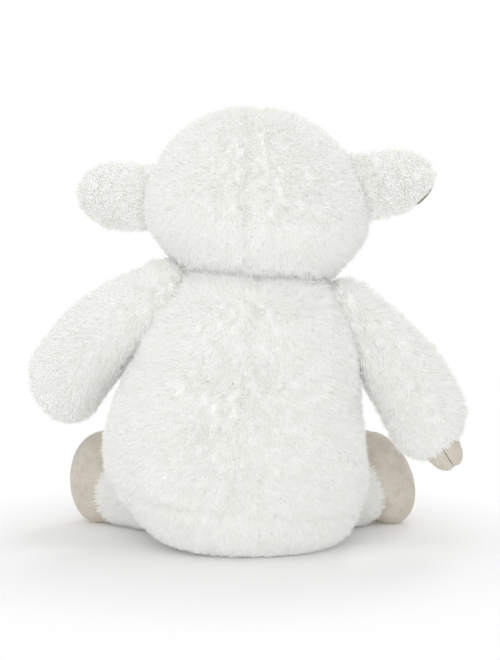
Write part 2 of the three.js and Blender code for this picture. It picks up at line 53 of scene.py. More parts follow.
# Places: each limb has axes of its own, with the origin on its joint
def turned(x=0, y=0, z=0):  # degrees: about Z first, then Y, then X
    a, b, c = np.radians([x, y, z])
    aboutX = np.array([[1, 0, 0], [0, np.cos(a), -np.sin(a)], [0, np.sin(a), np.cos(a)]])
    aboutY = np.array([[np.cos(b), 0, np.sin(b)], [0, 1, 0], [-np.sin(b), 0, np.cos(b)]])
    aboutZ = np.array([[np.cos(c), -np.sin(c), 0], [np.sin(c), np.cos(c), 0], [0, 0, 1]])
    return aboutX @ aboutY @ aboutZ


def toRow(points, place):  # from a limb's own axes to the row frame, mm
    return points @ place["turn"].T + place["at"]


def toOwn(points, place):
    return (points - place["at"]) @ place["turn"]


posture = {
    "lean": 5, "pressed": 0.5,
    "headTilt": 8, "headTurn": -7,
    "earTilt": {"left": 5, "right": 8},
    "armForward": {"left": 20, "right": 4}, "armSpread": {"left": 38, "right": 39},
    "legSplay": {"left": 44, "right": 58},
}
trunk = {"turn": turned(y=-posture["lean"]), "at": np.array([0, 0, -posture["pressed"]])}
headPlace = {
    "turn": trunk["turn"] @ turned(y=posture["headTilt"]) @ turned(z=posture["headTurn"]),
    "at": jointAt["head_nod"],
}
places = {"torso": trunk, "head": headPlace}
for side, sign in sideSign.items():
    places["ear_" + side] = {
        "turn": headPlace["turn"] @ turned(y=-sign * posture["earTilt"][side]),
        "at": jointAt[f"ear_{side}_swing"],
    }
    places["arm_" + side] = {
        "turn": trunk["turn"] @ turned(-posture["armForward"][side], -sign * posture["armSpread"][side]),
        "at": jointAt["shoulder_" + side],
    }
    places["leg_" + side] = {
        "turn": turned(z=sign * posture["legSplay"][side]),
        "at": jointAt["hip_" + side],
    }


def toLinear(hexColour):
    raw = np.array([int(hexColour[i:i + 2], 16) for i in (1, 3, 5)]) / 255
    linear = np.where(raw <= 0.04045, raw / 12.92, ((raw + 0.055) / 1.055) ** 2.4)
    return (*linear.tolist(), 1.0)


def addNode(tree, kind, links=None, sockets=None, stops=(), **settings):
    node = tree.nodes.new(kind)
    for key, value in settings.items():
        setattr(node, key, value)
    for key, value in (sockets or {}).items():
        node.inputs[key].default_value = value
    for key, source in (links or {}).items():
        tree.links.new(source, node.inputs[key])
    for number, (place, colour) in enumerate(stops):  # only a colour ramp has stops
        marks = node.color_ramp.elements
        mark = marks[number] if number < len(marks) else marks.new(place)
        mark.position, mark.color = place, toLinear(colour)
    return node


def newMaterial(name, **sockets):
    material = bpy.data.materials.new(name)
    material.use_nodes = True
    tree = material.node_tree
    shader = tree.nodes["Principled BSDF"]
    for key, value in sockets.items():
        shader.inputs[key.replace("_", " ")].default_value = value
    return material, tree, shader


# Polyester plush, knitted and sheared: matt and fluffy. Its colour holds painted shade: a little darker at the roots,
# between the fibres, than at their tips.
# Across a tuft's map runs its tint, along it runs root to tip.
pileLook = {"root": "#fafaf9", "mid": "#fdfdfd", "tip": "#ffffff", "warmTint": "#fefefb"}


def makePileMaterial():
    material, tree, shader = newMaterial(
        "polyesterPlushPile", Roughness=0.85, Specular_IOR_Level=0.15, Sheen_Weight=0.25, Sheen_Roughness=0.6)
    uv = addNode(tree, "ShaderNodeUVMap", uv_map="OFBake")
    parts = addNode(tree, "ShaderNodeSeparateXYZ", {"Vector": uv.outputs["UV"]})
    # painted shade: the colour darkens from the tips down to the roots of each tuft
    along = addNode(tree, "ShaderNodeValToRGB", {"Fac": parts.outputs["Y"]},
                    stops=[(0.0, pileLook["root"]), (1.0, pileLook["tip"]), (0.45, pileLook["mid"])])
    tint = addNode(tree, "ShaderNodeValToRGB", {"Fac": parts.outputs["X"]},
                   stops=[(0.0, "#ffffff"), (1.0, pileLook["warmTint"])])
    mixed = addNode(tree, "ShaderNodeMix", {6: along.outputs["Color"], 7: tint.outputs["Color"]}, {0: 1.0},
                    data_type="RGBA", blend_type="MULTIPLY")
    tree.links.new(mixed.outputs[2], shader.inputs["Base Color"])
    return material


# Polyester velour, knitted and cropped short: matt, with a soft sheen at grazing angles and brushed patches.
# The real nap is about 0.3 mm, too fine to show here, so it is drawn at 0.9 mm.
velourLook = {
    "taupeVelour": ("#cec6b8", "#d7d0c4", "#dfd9cf"), "greyVelour": ("#8f8c82", "#9a978d", "#a5a299"),
    "napMm": 0.9, "brushMm": 9,
}


def makeVelourMaterial(name):
    material, tree, shader = newMaterial(
        name, Roughness=0.9, Specular_IOR_Level=0.15, Sheen_Weight=0.35, Sheen_Roughness=0.45)
    where = addNode(tree, "ShaderNodeTexCoord")
    nap = addNode(tree, "ShaderNodeTexNoise", {"Vector": where.outputs["Object"]},
                  {"Scale": 1 / (velourLook["napMm"] * mm), "Detail": 3})
    brush = addNode(tree, "ShaderNodeTexNoise", {"Vector": where.outputs["Object"]},
                    {"Scale": 1 / (velourLook["brushMm"] * mm), "Detail": 2, "Distortion": 0.8})
    both = addNode(tree, "ShaderNodeMath", {0: nap.outputs["Fac"], 1: brush.outputs["Fac"]}, operation="ADD")
    half = addNode(tree, "ShaderNodeMath", {0: both.outputs["Value"]}, {1: 0.5}, operation="MULTIPLY")
    dark, mid, light = velourLook[name]
    colour = addNode(tree, "ShaderNodeValToRGB", {"Fac": half.outputs["Value"]},
                     stops=[(0.36, dark), (0.64, light), (0.5, mid)])
    bump = addNode(tree, "ShaderNodeBump", {"Height": nap.outputs["Fac"]}, {"Strength": 0.45, "Distance": 0.35 * mm})
    tree.links.new(colour.outputs["Color"], shader.inputs["Base Color"])
    tree.links.new(bump.outputs["Normal"], shader.inputs["Normal"])
    return material


# Warp-knit polyester backing: matt, with fine rows of loops
backingLook = {
    "finish": {"Roughness": 0.95, "Specular_IOR_Level": 0.1}, "pattern": ("Voronoi", "Distance"), "sizeMm": 1.1,
    "stops": [(0.1, "#fcfcfb"), (0.8, "#f5f5f3")], "bump": (0.5, 0.4), "invert": True,
}
# Polyester fibrefill: loose crimped fibres, bright and matt
fibreLook = {
    "finish": {"Roughness": 1.0, "Specular_IOR_Level": 0.1}, "pattern": ("Noise", "Fac"), "sizeMm": 2.2,
    "sockets": {"Detail": 6, "Distortion": 2.5}, "stops": [(0.35, "#dedbd2"), (0.65, "#faf9f6")], "bump": (0.7, 0.8),
}
# Unbleached cotton sheeting, plain weave: matt, with warp and weft ribs
cottonLook = {
    "finish": {"Roughness": 0.95, "Specular_IOR_Level": 0.15}, "pattern": ("Wave", "Fac"), "sizeMm": 0.9,
    "sockets": {"Distortion": 0.6, "Detail": 2}, "bands": ("X", "Y"),
    "stops": [(0.05, "#cdc3ad"), (0.5, "#e9e2d2")], "bump": (0.6, 0.3),
}
# Polyester embroidery thread laid as satin stitch: a soft lengthwise gloss and fine plies across
threadLook = {
    "finish": {"Roughness": 0.5, "Specular_IOR_Level": 0.4, "Sheen_Weight": 0.2, "Sheen_Roughness": 0.4},
    "pattern": ("Wave", "Fac"), "sizeMm": 0.45, "sockets": {"Distortion": 1.5, "Detail": 2}, "bands": ("DIAGONAL",),
    "stops": [(0.1, "#5b4a41"), (0.8, "#7b675b")], "bump": (0.4, 0.2),
}
# Moulded plastics: the fine unevenness of a mould in the gloss, and a faint cloudiness in the colour
plasticLook = {
    "blackAbs": ("#120e0c", "#1d1714", 0.08, 0.16), "nylon": ("#dfdfd9", "#efefea", 0.42, 0.58),
    "polyethylene": ("#d3dae0", "#e6ebee", 0.38, 0.55), "finish": {"IOR": 1.53},
    "pattern": ("Noise", "Fac"), "sizeMm": 1.6, "sockets": {"Detail": 4}, "bump": (0.08, 0.2),
}


def makePatterned(name, look):
    # One pattern of a real size, or two bands that cross, gives the colour, the bump and a plastic's gloss
    material, tree, shader = newMaterial(name, **look["finish"])
    where = addNode(tree, "ShaderNodeTexCoord")
    kind, output = look["pattern"]
    perUnit = 2 * math.pi / 20 if kind == "Wave" else 1  # bands are 2 pi / 20 long at a scale of 1
    sockets = {"Scale": perUnit / (look["sizeMm"] * mm), **look.get("sockets", {})}
    bands = [{"bands_direction": band} for band in look.get("bands", ())] or [{}]
    marks = [addNode(tree, "ShaderNodeTex" + kind, {"Vector": where.outputs["Object"]}, sockets, **band)
             for band in bands]
    height = marks[0].outputs[output]
    if len(marks) > 1:
        both = {0: height, 1: marks[1].outputs[output]}
        height = addNode(tree, "ShaderNodeMath", both, operation="MULTIPLY").outputs["Value"]
    colour = addNode(tree, "ShaderNodeValToRGB", {"Fac": height}, stops=look["stops"])
    strength, depth = look["bump"]
    bump = addNode(tree, "ShaderNodeBump", {"Height": height}, {"Strength": strength, "Distance": depth * mm},
                   invert=look.get("invert", False))
    tree.links.new(colour.outputs["Color"], shader.inputs["Base Color"])
    tree.links.new(bump.outputs["Normal"], shader.inputs["Normal"])
    if "gloss" in look:
        smooth, rough = look["gloss"]
        gloss = addNode(tree, "ShaderNodeMapRange", {"Value": height}, {"To Min": smooth, "To Max": rough})
        tree.links.new(gloss.outputs["Result"], shader.inputs["Roughness"])
    return material


def makePlastic(name):
    dark, light, smooth, rough = plasticLook[name]
    return makePatterned(name, {**plasticLook, "stops": [(0.35, dark), (0.65, light)], "gloss": (smooth, rough)})


pileMaterial = makePileMaterial()
hoofVelour, earVelour = makeVelourMaterial("taupeVelour"), makeVelourMaterial("greyVelour")
backingMaterial = makePatterned("knitBacking", backingLook)
fibreMaterial = makePatterned("polyesterFibrefill", fibreLook)
cottonMaterial = makePatterned("cottonSheeting", cottonLook)
threadMaterial = makePatterned("embroideryThread", threadLook)
eyeAbs, washerNylon, pelletPlastic = (makePlastic(name) for name in ("blackAbs", "nylon", "polyethylene"))
print("materials made")


def unit(v):
    return v / np.maximum(np.linalg.norm(v, axis=-1, keepdims=True), 1e-9)


def ramp(values, start, width):
    # 0 up to the start, rising to 1 over the width
    return np.clip((values - start) / width, 0, 1)


def evenly(curve, count):
    # The same curve cut into equal lengths
    steps = np.concatenate([[0], np.cumsum(np.linalg.norm(np.diff(curve, axis=0), axis=1))])
    at = np.linspace(0, steps[-1], count)
    return np.stack([np.interp(at, steps, curve[:, k]) for k in range(curve.shape[1])], 1)


def throughPoints(points, count):
    # A uniform Catmull-Rom curve through the points, cut into equal lengths
    p = np.array(points, float)
    p = np.vstack([p[:1], p, p[-1:]])
    t = np.linspace(0, 1, 60, endpoint=False)[:, None]
    runs = []
    for a, b, c, d in zip(p[:-3], p[1:-2], p[2:-1], p[3:]):
        runs.append(0.5 * (2 * b + (c - a) * t + (2 * a - 5 * b + 4 * c - d) * t ** 2
                           + (3 * b - a - 3 * c + d) * t ** 3))
    return evenly(np.vstack(runs + [p[-1:]]), count)


def around(count):
    return np.linspace(0, 2 * np.pi, count, endpoint=False)


def ovalRings(profile, angles, flat=1.0, grow=0.0, bend=None, least=0.4):
    # A profile of (radius, height) carried round the upright axis as oval rings, offset by grow along its normal
    along = unit(np.gradient(profile, axis=0))
    radius = np.maximum(profile[:, 0] + along[:, 1] * grow, least)
    depth = np.maximum(profile[:, 0] * flat + along[:, 1] * grow, least)
    height = profile[:, 1] - along[:, 0] * grow
    shift = np.zeros(len(profile)) if bend is None else bend(profile[:, 1])
    x = radius[:, None] * np.cos(angles)[None] + shift[:, None]
    y = depth[:, None] * np.sin(angles)[None]
    return np.stack([x, y, np.repeat(height[:, None], len(angles), 1)], -1)


def gridNormals(grid, wrap):
    along = np.gradient(grid, axis=0)
    across = (np.roll(grid, -1, 1) - np.roll(grid, 1, 1)) if wrap else np.gradient(grid, axis=1)
    return unit(np.cross(across, along))


def facingOut(grid, wrap=True):
    # The same grid with its columns in the order that makes its faces look away from its middle
    away = grid - grid.reshape(-1, 3).mean(0)
    return grid if (gridNormals(grid, wrap) * away).sum() > 0 else grid[:, ::-1]


def gridFaces(rows, cols, wrap):
    i, j = np.meshgrid(np.arange(rows - 1), np.arange(cols if wrap else cols - 1), indexing="ij")
    k = (j + 1) % cols
    return np.stack([i * cols + j, i * cols + k, (i + 1) * cols + k, (i + 1) * cols + j], -1).reshape(-1, 4)


def ringCaps(rows, cols, start=True, end=True):
    caps = []
    if start:
        caps.append(list(range(cols))[::-1])
    if end:
        caps.append(list(range((rows - 1) * cols, rows * cols)))
    return caps


def addObject(name, data):
    thing = bpy.data.objects.new(name, data)
    scene.collection.objects.link(thing)
    return thing


def addPiece(name, points, faces, material, body, replaces=(), caps=()):
    mesh = bpy.data.meshes.new(name)
    mesh.from_pydata((points.reshape(-1, 3) * mm).tolist(), [], [list(f) for f in faces.tolist()] + list(caps))
    mesh.shade_smooth()
    mesh.validate()
    piece = addObject(name, mesh)
    mesh.materials.append(material)
    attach(piece, body)
    if replaces:
        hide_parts(*replaces)
    return piece


def addRings(name, grid, material, body, replaces=(), start=True, end=True):
    rows, cols = grid.shape[:2]
    return addPiece(name, grid, gridFaces(rows, cols, True), material, body, replaces,
                    ringCaps(rows, cols, start, end))


def addWall(piece, thickness):
    wall = piece.modifiers.new("wall", "SOLIDIFY")
    wall.thickness = thickness * mm
    wall.offset = -1


def waveField(points, low, high, seed, count=26):
    # A smooth random field: a sum of plane waves whose lengths lie between low and high. Gives value and slope.
    rng = np.random.default_rng(seed)
    k = unit(rng.normal(size=(count, 3))) * (2 * np.pi / rng.uniform(low, high, count))[:, None]
    turn = points @ k.T + rng.uniform(0, 2 * np.pi, count)
    scale = math.sqrt(2 / count)
    return np.sin(turn).sum(1) * scale, (np.cos(turn) @ k) * scale


stuffing = {
    "cell": 5.5, "mass": 0.02, "pressure": 4.0, "spare": 0.015, "frames": 20, "cap": 2.2,
    "fineCell": 3, "leastGirth": 30, "fade": 60,
}


def stuffed(grid, wrap, held, cell=stuffing["cell"], cap=stuffing["cap"]):
    # Blender's cloth, cut with a little to spare, blows up a coarse copy of a skin whose seams are held. The skin
    # moves with it, by no more than the cap.
    rows, cols = grid.shape[:2]
    girth = np.linalg.norm(np.diff(grid, axis=1), axis=2).sum(1)
    broad = np.nonzero(girth > stuffing["leastGirth"])[0]
    first, last = broad[0], broad[-1]
    tall = np.linalg.norm(np.diff(grid[first:last + 1], axis=0), axis=2).sum(0).mean()
    pickRows = np.unique(np.linspace(first, last, int(tall / cell) + 1).round().astype(int))
    pickCols = np.unique(np.linspace(0, cols - (not wrap), int(girth.max() / cell) + 1).round().astype(int))
    pickCols = pickCols[pickCols < cols]
    coarse = grid[np.ix_(pickRows, pickCols)]
    mesh = bpy.data.meshes.new("trialSkin")
    mesh.from_pydata((coarse.reshape(-1, 3) * mm).tolist(), [], gridFaces(*coarse.shape[:2], wrap).tolist())
    trial = addObject("trialSkin", mesh)
    group = trial.vertex_groups.new(name="seams")
    group.add(np.nonzero(held[np.ix_(pickRows, pickCols)].ravel())[0].tolist(), 1.0, "REPLACE")
    cloth = trial.modifiers.new("cloth", "CLOTH")
    cloth.settings.mass = stuffing["mass"]
    cloth.settings.use_pressure = True
    cloth.settings.uniform_pressure_force = stuffing["pressure"]
    cloth.settings.shrink_min = -stuffing["spare"]
    cloth.settings.vertex_group_mass = "seams"
    cloth.settings.effector_weights.gravity = 0
    cloth.point_cache.frame_start, cloth.point_cache.frame_end = 1, stuffing["frames"]
    for number in range(stuffing["frames"]):
        scene.frame_set(number + 1)
    result = trial.evaluated_get(bpy.context.evaluated_depsgraph_get()).data
    after = np.empty(coarse.size, np.float32)
    result.vertices.foreach_get("co", after)
    scene.frame_set(1)
    bpy.data.objects.remove(trial)
    bpy.data.meshes.remove(mesh)
    moved = after.reshape(coarse.shape) / mm - coarse
    far = np.linalg.norm(moved, axis=2, keepdims=True)
    moved = moved * cap * np.tanh(far / cap) / np.maximum(far, 1e-6)
    period = cols if wrap else None
    wide = np.array([[np.interp(np.arange(cols), pickCols, line, period=period) for line in moved[..., k]]
                     for k in range(3)])
    full = np.array([[np.interp(np.arange(rows), pickRows, line) for line in part.T] for part in wide])
    full = full.transpose(2, 1, 0)
    if wrap:
        full[:first], full[last + 1:] = full[first].mean(0), full[last].mean(0)
    else:
        full *= np.clip(girth / stuffing["fade"], 0, 1)[:, None, None]
    return grid + full


def heldAt(grid, rows, cols=()):
    held = np.zeros(grid.shape[:2], bool)
    held[rows] = True
    held[:, list(cols)] = True
    return held


def offFloor(grid, height):
    grid[..., 2] = np.maximum(grid[..., 2], height)
    return grid


pile = {
    "skinSink": 3.5,  # backing under the outside of the CAD cover
    "backing": 1.4, "skinFloor": 1.5, "firm": 0.75,
    "perSquareMm": 2.04, "length": 5.3, "lengthSpread": 0.12, "width": 0.54, "widthSpread": 0.25, "rootDeep": 0.5,
    "stand": 0.8, "lay": 0.65, "swirl": 0.1, "swirlMm": (24, 60), "jitter": 0.38,
    "clumpMm": (4.5, 8), "clumpPull": 1.6, "clumpRise": 0.06, "collarLonger": 0.4, "collarMm": 9, "collarLift": 1.3,
    "floorGap": 0.3, "tint": 0.35, "tintSpread": 0.15, "mapWidth": 0.008,
}


def plantPile(name, grid, wrap, comb, body, seed, lengthShare=None, keep=None, density=1.0, length=1.0,
              width=1.0):
    # Tufts rooted at random on the skin. Each is a slender three-sided spike that leans from the skin's normal
    # towards the comb direction, and its tip is drawn up the slope of a random field, so tufts gather in locks.
    rng = np.random.default_rng(seed)
    rows, cols = grid.shape[:2]
    quads = gridFaces(rows, cols, wrap)
    tris = np.vstack([quads[:, [0, 1, 2]], quads[:, [0, 2, 3]]])
    points, normals = grid.reshape(-1, 3), gridNormals(grid, wrap).reshape(-1, 3)
    combs = unit(comb).reshape(-1, 3)
    share = np.ones(len(points)) if lengthShare is None else lengthShare.reshape(-1)
    a, b, c = (points[tris[:, k]] for k in range(3))
    area = np.linalg.norm(np.cross(b - a, c - a), axis=1) / 2
    count = int(area.sum() * pile["perSquareMm"] * density)
    chosen = np.searchsorted(np.cumsum(area), rng.uniform(0, area.sum(), count))
    chosen = np.minimum(chosen, len(tris) - 1)
    r1, r2 = np.sqrt(rng.uniform(size=count)), rng.uniform(size=count)
    weights = np.stack([1 - r1, r1 * (1 - r2), r1 * r2], 1)

    def between(values):
        corner = values[tris[chosen]]
        return (corner * weights.reshape(weights.shape + (1,) * (corner.ndim - 2))).sum(1)

    root, normal, lay, part = between(points), unit(between(normals)), unit(between(combs)), between(share)
    if keep is not None:
        kept = keep(root)
        root, normal, lay, part = root[kept], normal[kept], lay[kept], part[kept]
        count = len(root)
    value, slope = waveField(root, *pile["clumpMm"], seed=11)
    slope = slope * (sum(pile["clumpMm"]) / 2 / (2 * np.pi))
    slope -= (slope * normal).sum(1, keepdims=True) * normal
    _, swirl = waveField(root, *pile["swirlMm"], seed=12)
    long = pile["length"] * length * part * (1 + pile["lengthSpread"] * rng.normal(size=count)
                                             + pile["clumpRise"] * value)
    heading = unit(pile["stand"] * normal + pile["lay"] * lay + pile["swirl"] * unit(swirl)
                   + pile["jitter"] * rng.normal(size=(count, 3)))
    base = root - pile["rootDeep"] * normal
    tip = root + heading * long[:, None] + slope * pile["clumpPull"] * length ** 2 * part[:, None]
    base, tip = offFloor(base, pile["floorGap"]), offFloor(tip, pile["floorGap"])
    sideways = unit(np.cross(heading, rng.normal(size=(count, 3))))
    other = np.cross(heading, sideways)
    wide = pile["width"] * width * rng.uniform(1 - pile["widthSpread"], 1 + pile["widthSpread"], (count, 1, 1))
    spin = around(3)
    ring = np.cos(spin)[None, :, None] * sideways[:, None] + np.sin(spin)[None, :, None] * other[:, None]
    verts = np.concatenate([base[:, None] + ring * wide, tip[:, None]], 1)
    oneTuft = np.array([[0, 1, 3], [1, 2, 3], [2, 0, 3], [2, 1, 0]])
    faces = (oneTuft[None] + 4 * np.arange(count)[:, None, None]).reshape(-1, 3)
    tint = np.clip(pile["tint"] + pile["tintSpread"] * (rng.normal(size=count) + value), 0.03, 0.97)
    # each side of a tuft is one narrow triangle of the map, standing on its root line
    across = np.array([[-1, 1, 0]] * 4) * pile["mapWidth"]
    # up the map runs from root to tip; the material paints shade at its root end
    up = np.array([[0.02, 0.02, 0.98]] * 3 + [[0.01, 0.01, 0.03]])
    uv = np.stack([tint[:, None, None] + across[None], np.repeat(up[None], count, 0)], -1)
    piece = pileMesh(name, verts.reshape(-1, 3), faces, uv.reshape(-1, 2))
    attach(piece, body)
    print(name, count, "tufts", len(faces), "triangles")
    return piece


def collarShare(grid, height, seam):
    # The pile stands longer where head and torso meet, so that it closes over the crease
    longer = 1 + pile["collarLonger"] * np.exp(-((height - seam) / pile["collarMm"]) ** 2)
    return np.repeat(longer[:, None], grid.shape[1], 1)


def pileMesh(name, verts, faces, uv):
    mesh = bpy.data.meshes.new(name)
    mesh.vertices.add(len(verts))
    mesh.vertices.foreach_set("co", (verts * mm).astype(np.float32).ravel())
    mesh.loops.add(faces.size)
    mesh.loops.foreach_set("vertex_index", faces.astype(np.int32).ravel())
    mesh.polygons.add(len(faces))
    mesh.polygons.foreach_set("loop_start", np.arange(0, faces.size, 3, dtype=np.int32))
    mesh.update(calc_edges=True)
    layer = mesh.uv_layers.new(name="OFBake")
    layer.data.foreach_set("uv", uv.astype(np.float32).ravel())
    mesh.materials.append(pileMaterial)
    mesh.shade_flat()
    return addObject(name, mesh)


def addSkin(name, grid, body, wrap=False, closed=True):
    rows, cols = grid.shape[:2]
    capped = wrap and closed
    skin = addPiece(name, grid, gridFaces(rows, cols, wrap), backingMaterial, body, [name],
                    ringCaps(rows, cols, capped, capped))
    if not capped:
        addWall(skin, pile["backing"])
    return skin


def seamGirth(profile, angles):
    # Distance of each point of a panel from its nearer upright seam
    return profile[:, 0:1] * np.minimum(angles - angles[0], angles[-1] - angles)[None]


def coverPanel(name, grid, comb, body, seed, height, rim, runs, keep):
    addSkin(name, grid, body)
    share = collarShare(grid, height, rim)
    for order, (part, run) in enumerate(runs.items()):
        plantPile(name + "_pile" + part, grid[:, run], False, comb[:, run], body, seed + order,
                  lengthShare=share[:, run], keep=keep)


fill = {"gap": 2.2, "lumpMm": (14, 34), "lump": 0.9, "floor": 4.5, "firm": 0.8}  # stuffing under the backing


def addFill(name, grid, body):
    # A closed form whose skin is moved along its normals by a smooth random field, as packed fibre lies in lumps
    lumps, _ = waveField(grid.reshape(-1, 3), *fill["lumpMm"], seed=21)
    lumpy = grid + gridNormals(grid, True) * (fill["lump"] * lumps.reshape(grid.shape[:2]))[..., None]
    wad = addRings(name + "_fibre", lumpy, fibreMaterial, body, [name])


torsoForm = {
    "profile": [(0, 0), (62, 0), (89.5, 50), (78.5, 118), (61, 168), (0, 228)],
    "flat": 146 / 177, "seatSeam": 32, "rim": 177.5, "neckRadius": 30, "neckTop": 188.5,
    "seamTuck": 1.2, "seatTuck": 0.3, "seamWide": 4.5, "sag": 5, "sagAt": 82, "sagWide": 46,
    "rows": 90, "seatRows": 46, "seatCols": 160, "backCols": 60, "bellyCols": 111,
    "hunch": 0.17, "hunchFrom": 110, "tuckUp": 15, "tuckFrom": 10, "tuckTo": 70, "tuckBelow": 45,
    "shoulderHole": 17, "hipHole": 21, "combDown": 0.9, "combAway": 0.35,
    "heldBelow": 2, "seatShort": 0.35, "seatLonger": 18, "seatDensity": 0.8,
}
fillSink = pile["skinSink"] + pile["backing"] + fill["gap"]


def torsoProfile():
    whole = throughPoints(torsoForm["profile"], 400)
    shoulder = whole[whole[:, 1] <= torsoForm["rim"]]
    # the rim rolls in to the neck opening
    top = [shoulder[-1], shoulder[-1] + [-4, 4.4], (torsoForm["neckRadius"] + 8, torsoForm["neckTop"] - 0.6),
           (torsoForm["neckRadius"], torsoForm["neckTop"])]
    return evenly(np.vstack([shoulder[:-1], throughPoints(top, 40)]), 500)


torsoCurve = torsoProfile()


def torsoSag(height):
    # The stuffing has settled to one side at mid height
    return torsoForm["sag"] * np.exp(-((height - torsoForm["sagAt"]) / torsoForm["sagWide"]) ** 2)


def tuckedUp(grid):
    # One lower edge of the seat is drawn up, more the further out and the lower it lies
    out = ramp(grid[..., 0], torsoForm["tuckFrom"], torsoForm["tuckTo"] - torsoForm["tuckFrom"])
    low = np.clip(1 - grid[..., 2] / torsoForm["tuckBelow"], 0, 1)
    lifted = grid.copy()
    lifted[..., 2] += torsoForm["tuckUp"] * out ** 2 * low
    return lifted


def hunched(grid):
    # The back is fuller just below the neck, so that the head sits down into it
    rise = ramp(grid[..., 2], torsoForm["hunchFrom"], torsoForm["rim"] - torsoForm["hunchFrom"])
    fuller = grid.copy()
    fuller[..., 1] *= 1 + torsoForm["hunch"] * rise * rise * (3 - 2 * rise) * (grid[..., 1] > 0)
    return fuller


def insideTorso(points, sink):
    own = toOwn(points, trunk)
    own[:, 0] -= torsoSag(own[:, 2])
    rho = np.hypot(own[:, 0], own[:, 1] / torsoForm["flat"])
    reach = np.interp(own[:, 2], torsoCurve[:, 1], torsoCurve[:, 0], left=0, right=0)
    return rho < reach - sink


def seamTuck(distance):
    # How far the skin is drawn in beside a seam: a round valley
    return torsoForm["seamTuck"] * np.exp(-(distance / torsoForm["seamWide"]) ** 2)


def makeTorso():
    seam = int(np.searchsorted(torsoCurve[:, 1], torsoForm["seatSeam"]))
    upper = evenly(torsoCurve[seam:], torsoForm["rows"])
    lower = evenly(torsoCurve[:seam + 1], torsoForm["seatRows"])
    spans = {
        "torso_back_left": (0, 90, torsoForm["backCols"]), "torso_back_right": (90, 180, torsoForm["backCols"]),
        "torso_belly": (180, 360, torsoForm["bellyCols"]),
    }
    holes = [(jointAt[f"{joint}_{side}"], torsoForm[joint + "Hole"])
             for joint in ("shoulder", "hip") for side in sideSign]

    def clearOfLimbs(points):
        kept = np.ones(len(points), bool)
        for at, radius in holes:
            kept &= np.linalg.norm(points - at, axis=1) > radius
        return kept

    for number, (name, (start, stop, cols)) in enumerate(spans.items()):
        angles = np.radians(np.linspace(start, stop, cols))
        grid = hunched(tuckedUp(ovalRings(upper, angles, torsoForm["flat"], -pile["skinSink"], torsoSag)))
        rise = (upper[:, 1] - upper[0, 1])[:, None]
        tuck = seamTuck(seamGirth(upper, angles)) + torsoForm["seatTuck"] * seamTuck(rise)
        grid = grid - gridNormals(grid, False) * tuck[..., None]
        rowGrid = toRow(grid, trunk)
        rowGrid = stuffed(rowGrid, False, heldAt(rowGrid, [0, -1], [0, -1]))
        rowGrid = offFloor(rowGrid, pile["skinFloor"])
        away = np.gradient(grid, axis=1) * np.sign(-np.cos(angles) * np.sin(angles) + 1e-6)[None, :, None]
        downward = -np.gradient(grid, axis=0)
        collar = np.exp(-((upper[:, 1] - torsoForm["rim"]) / pile["collarMm"]) ** 2)[:, None, None]
        comb = unit(downward) * (torsoForm["combDown"] - pile["collarLift"] * collar)
        comb = (comb + unit(away) * torsoForm["combAway"]) @ trunk["turn"].T
        runs = {"": slice(0, cols)}
        if name == "torso_belly":
            runs = {"_left": slice(cols // 2, cols), "_right": slice(0, cols // 2 + 1)}
        coverPanel(name, rowGrid, comb, "torso", 100 + 10 * number, upper[:, 1], torsoForm["rim"], runs, clearOfLimbs)

    angles = around(torsoForm["seatCols"])
    grid = tuckedUp(ovalRings(lower, angles, torsoForm["flat"], -pile["skinSink"], torsoSag))
    rise = (lower[-1, 1] - lower[:, 1])[:, None] + 0 * angles[None]
    grid = grid - gridNormals(grid, True) * torsoForm["seatTuck"] * seamTuck(rise)[..., None]
    rowGrid = toRow(grid, trunk)
    held = heldAt(rowGrid, -1) | (rowGrid[..., 2] < torsoForm["heldBelow"])
    rowGrid = offFloor(stuffed(rowGrid, True, held), pile["skinFloor"])
    comb = -unit(np.gradient(grid, axis=0)) @ trunk["turn"].T
    share = np.clip(torsoForm["seatShort"] + rowGrid[..., 2] / torsoForm["seatLonger"], torsoForm["seatShort"], 1)
    addSkin("torso_seat", rowGrid, "torso", wrap=True, closed=False)
    plantPile("torso_seat_pile", rowGrid, True, comb, "torso", 140, lengthShare=share, keep=clearOfLimbs,
              density=torsoForm["seatDensity"])


makeTorso()
print("torso made")

pouchForm = {
    "width": 88, "flat": 70 / 88, "height": 34, "middle": (0, 12, 22.6), "floor": 6.4, "mouth": 7, "cloth": 0.8,
    "pleats": 14, "pleat": 1.1, "pleatFade": 9,
    "beanMm": 4.6, "beanFlat": 0.8, "beanStep": 5.2, "beanLayer": 0.82, "beanJitter": 0.3,
}


def pouchTop(x, y, grow):
    # Height of the pouch's upper side: half of an ellipsoid
    wide = pouchForm["width"] / 2 + grow
    cut = 1 - (x / wide) ** 2 - ((y - pouchForm["middle"][1]) / (wide * pouchForm["flat"])) ** 2
    return pouchForm["middle"][2] + (pouchForm["height"] / 2 + grow) * np.sqrt(np.maximum(cut, 0)), cut > 0


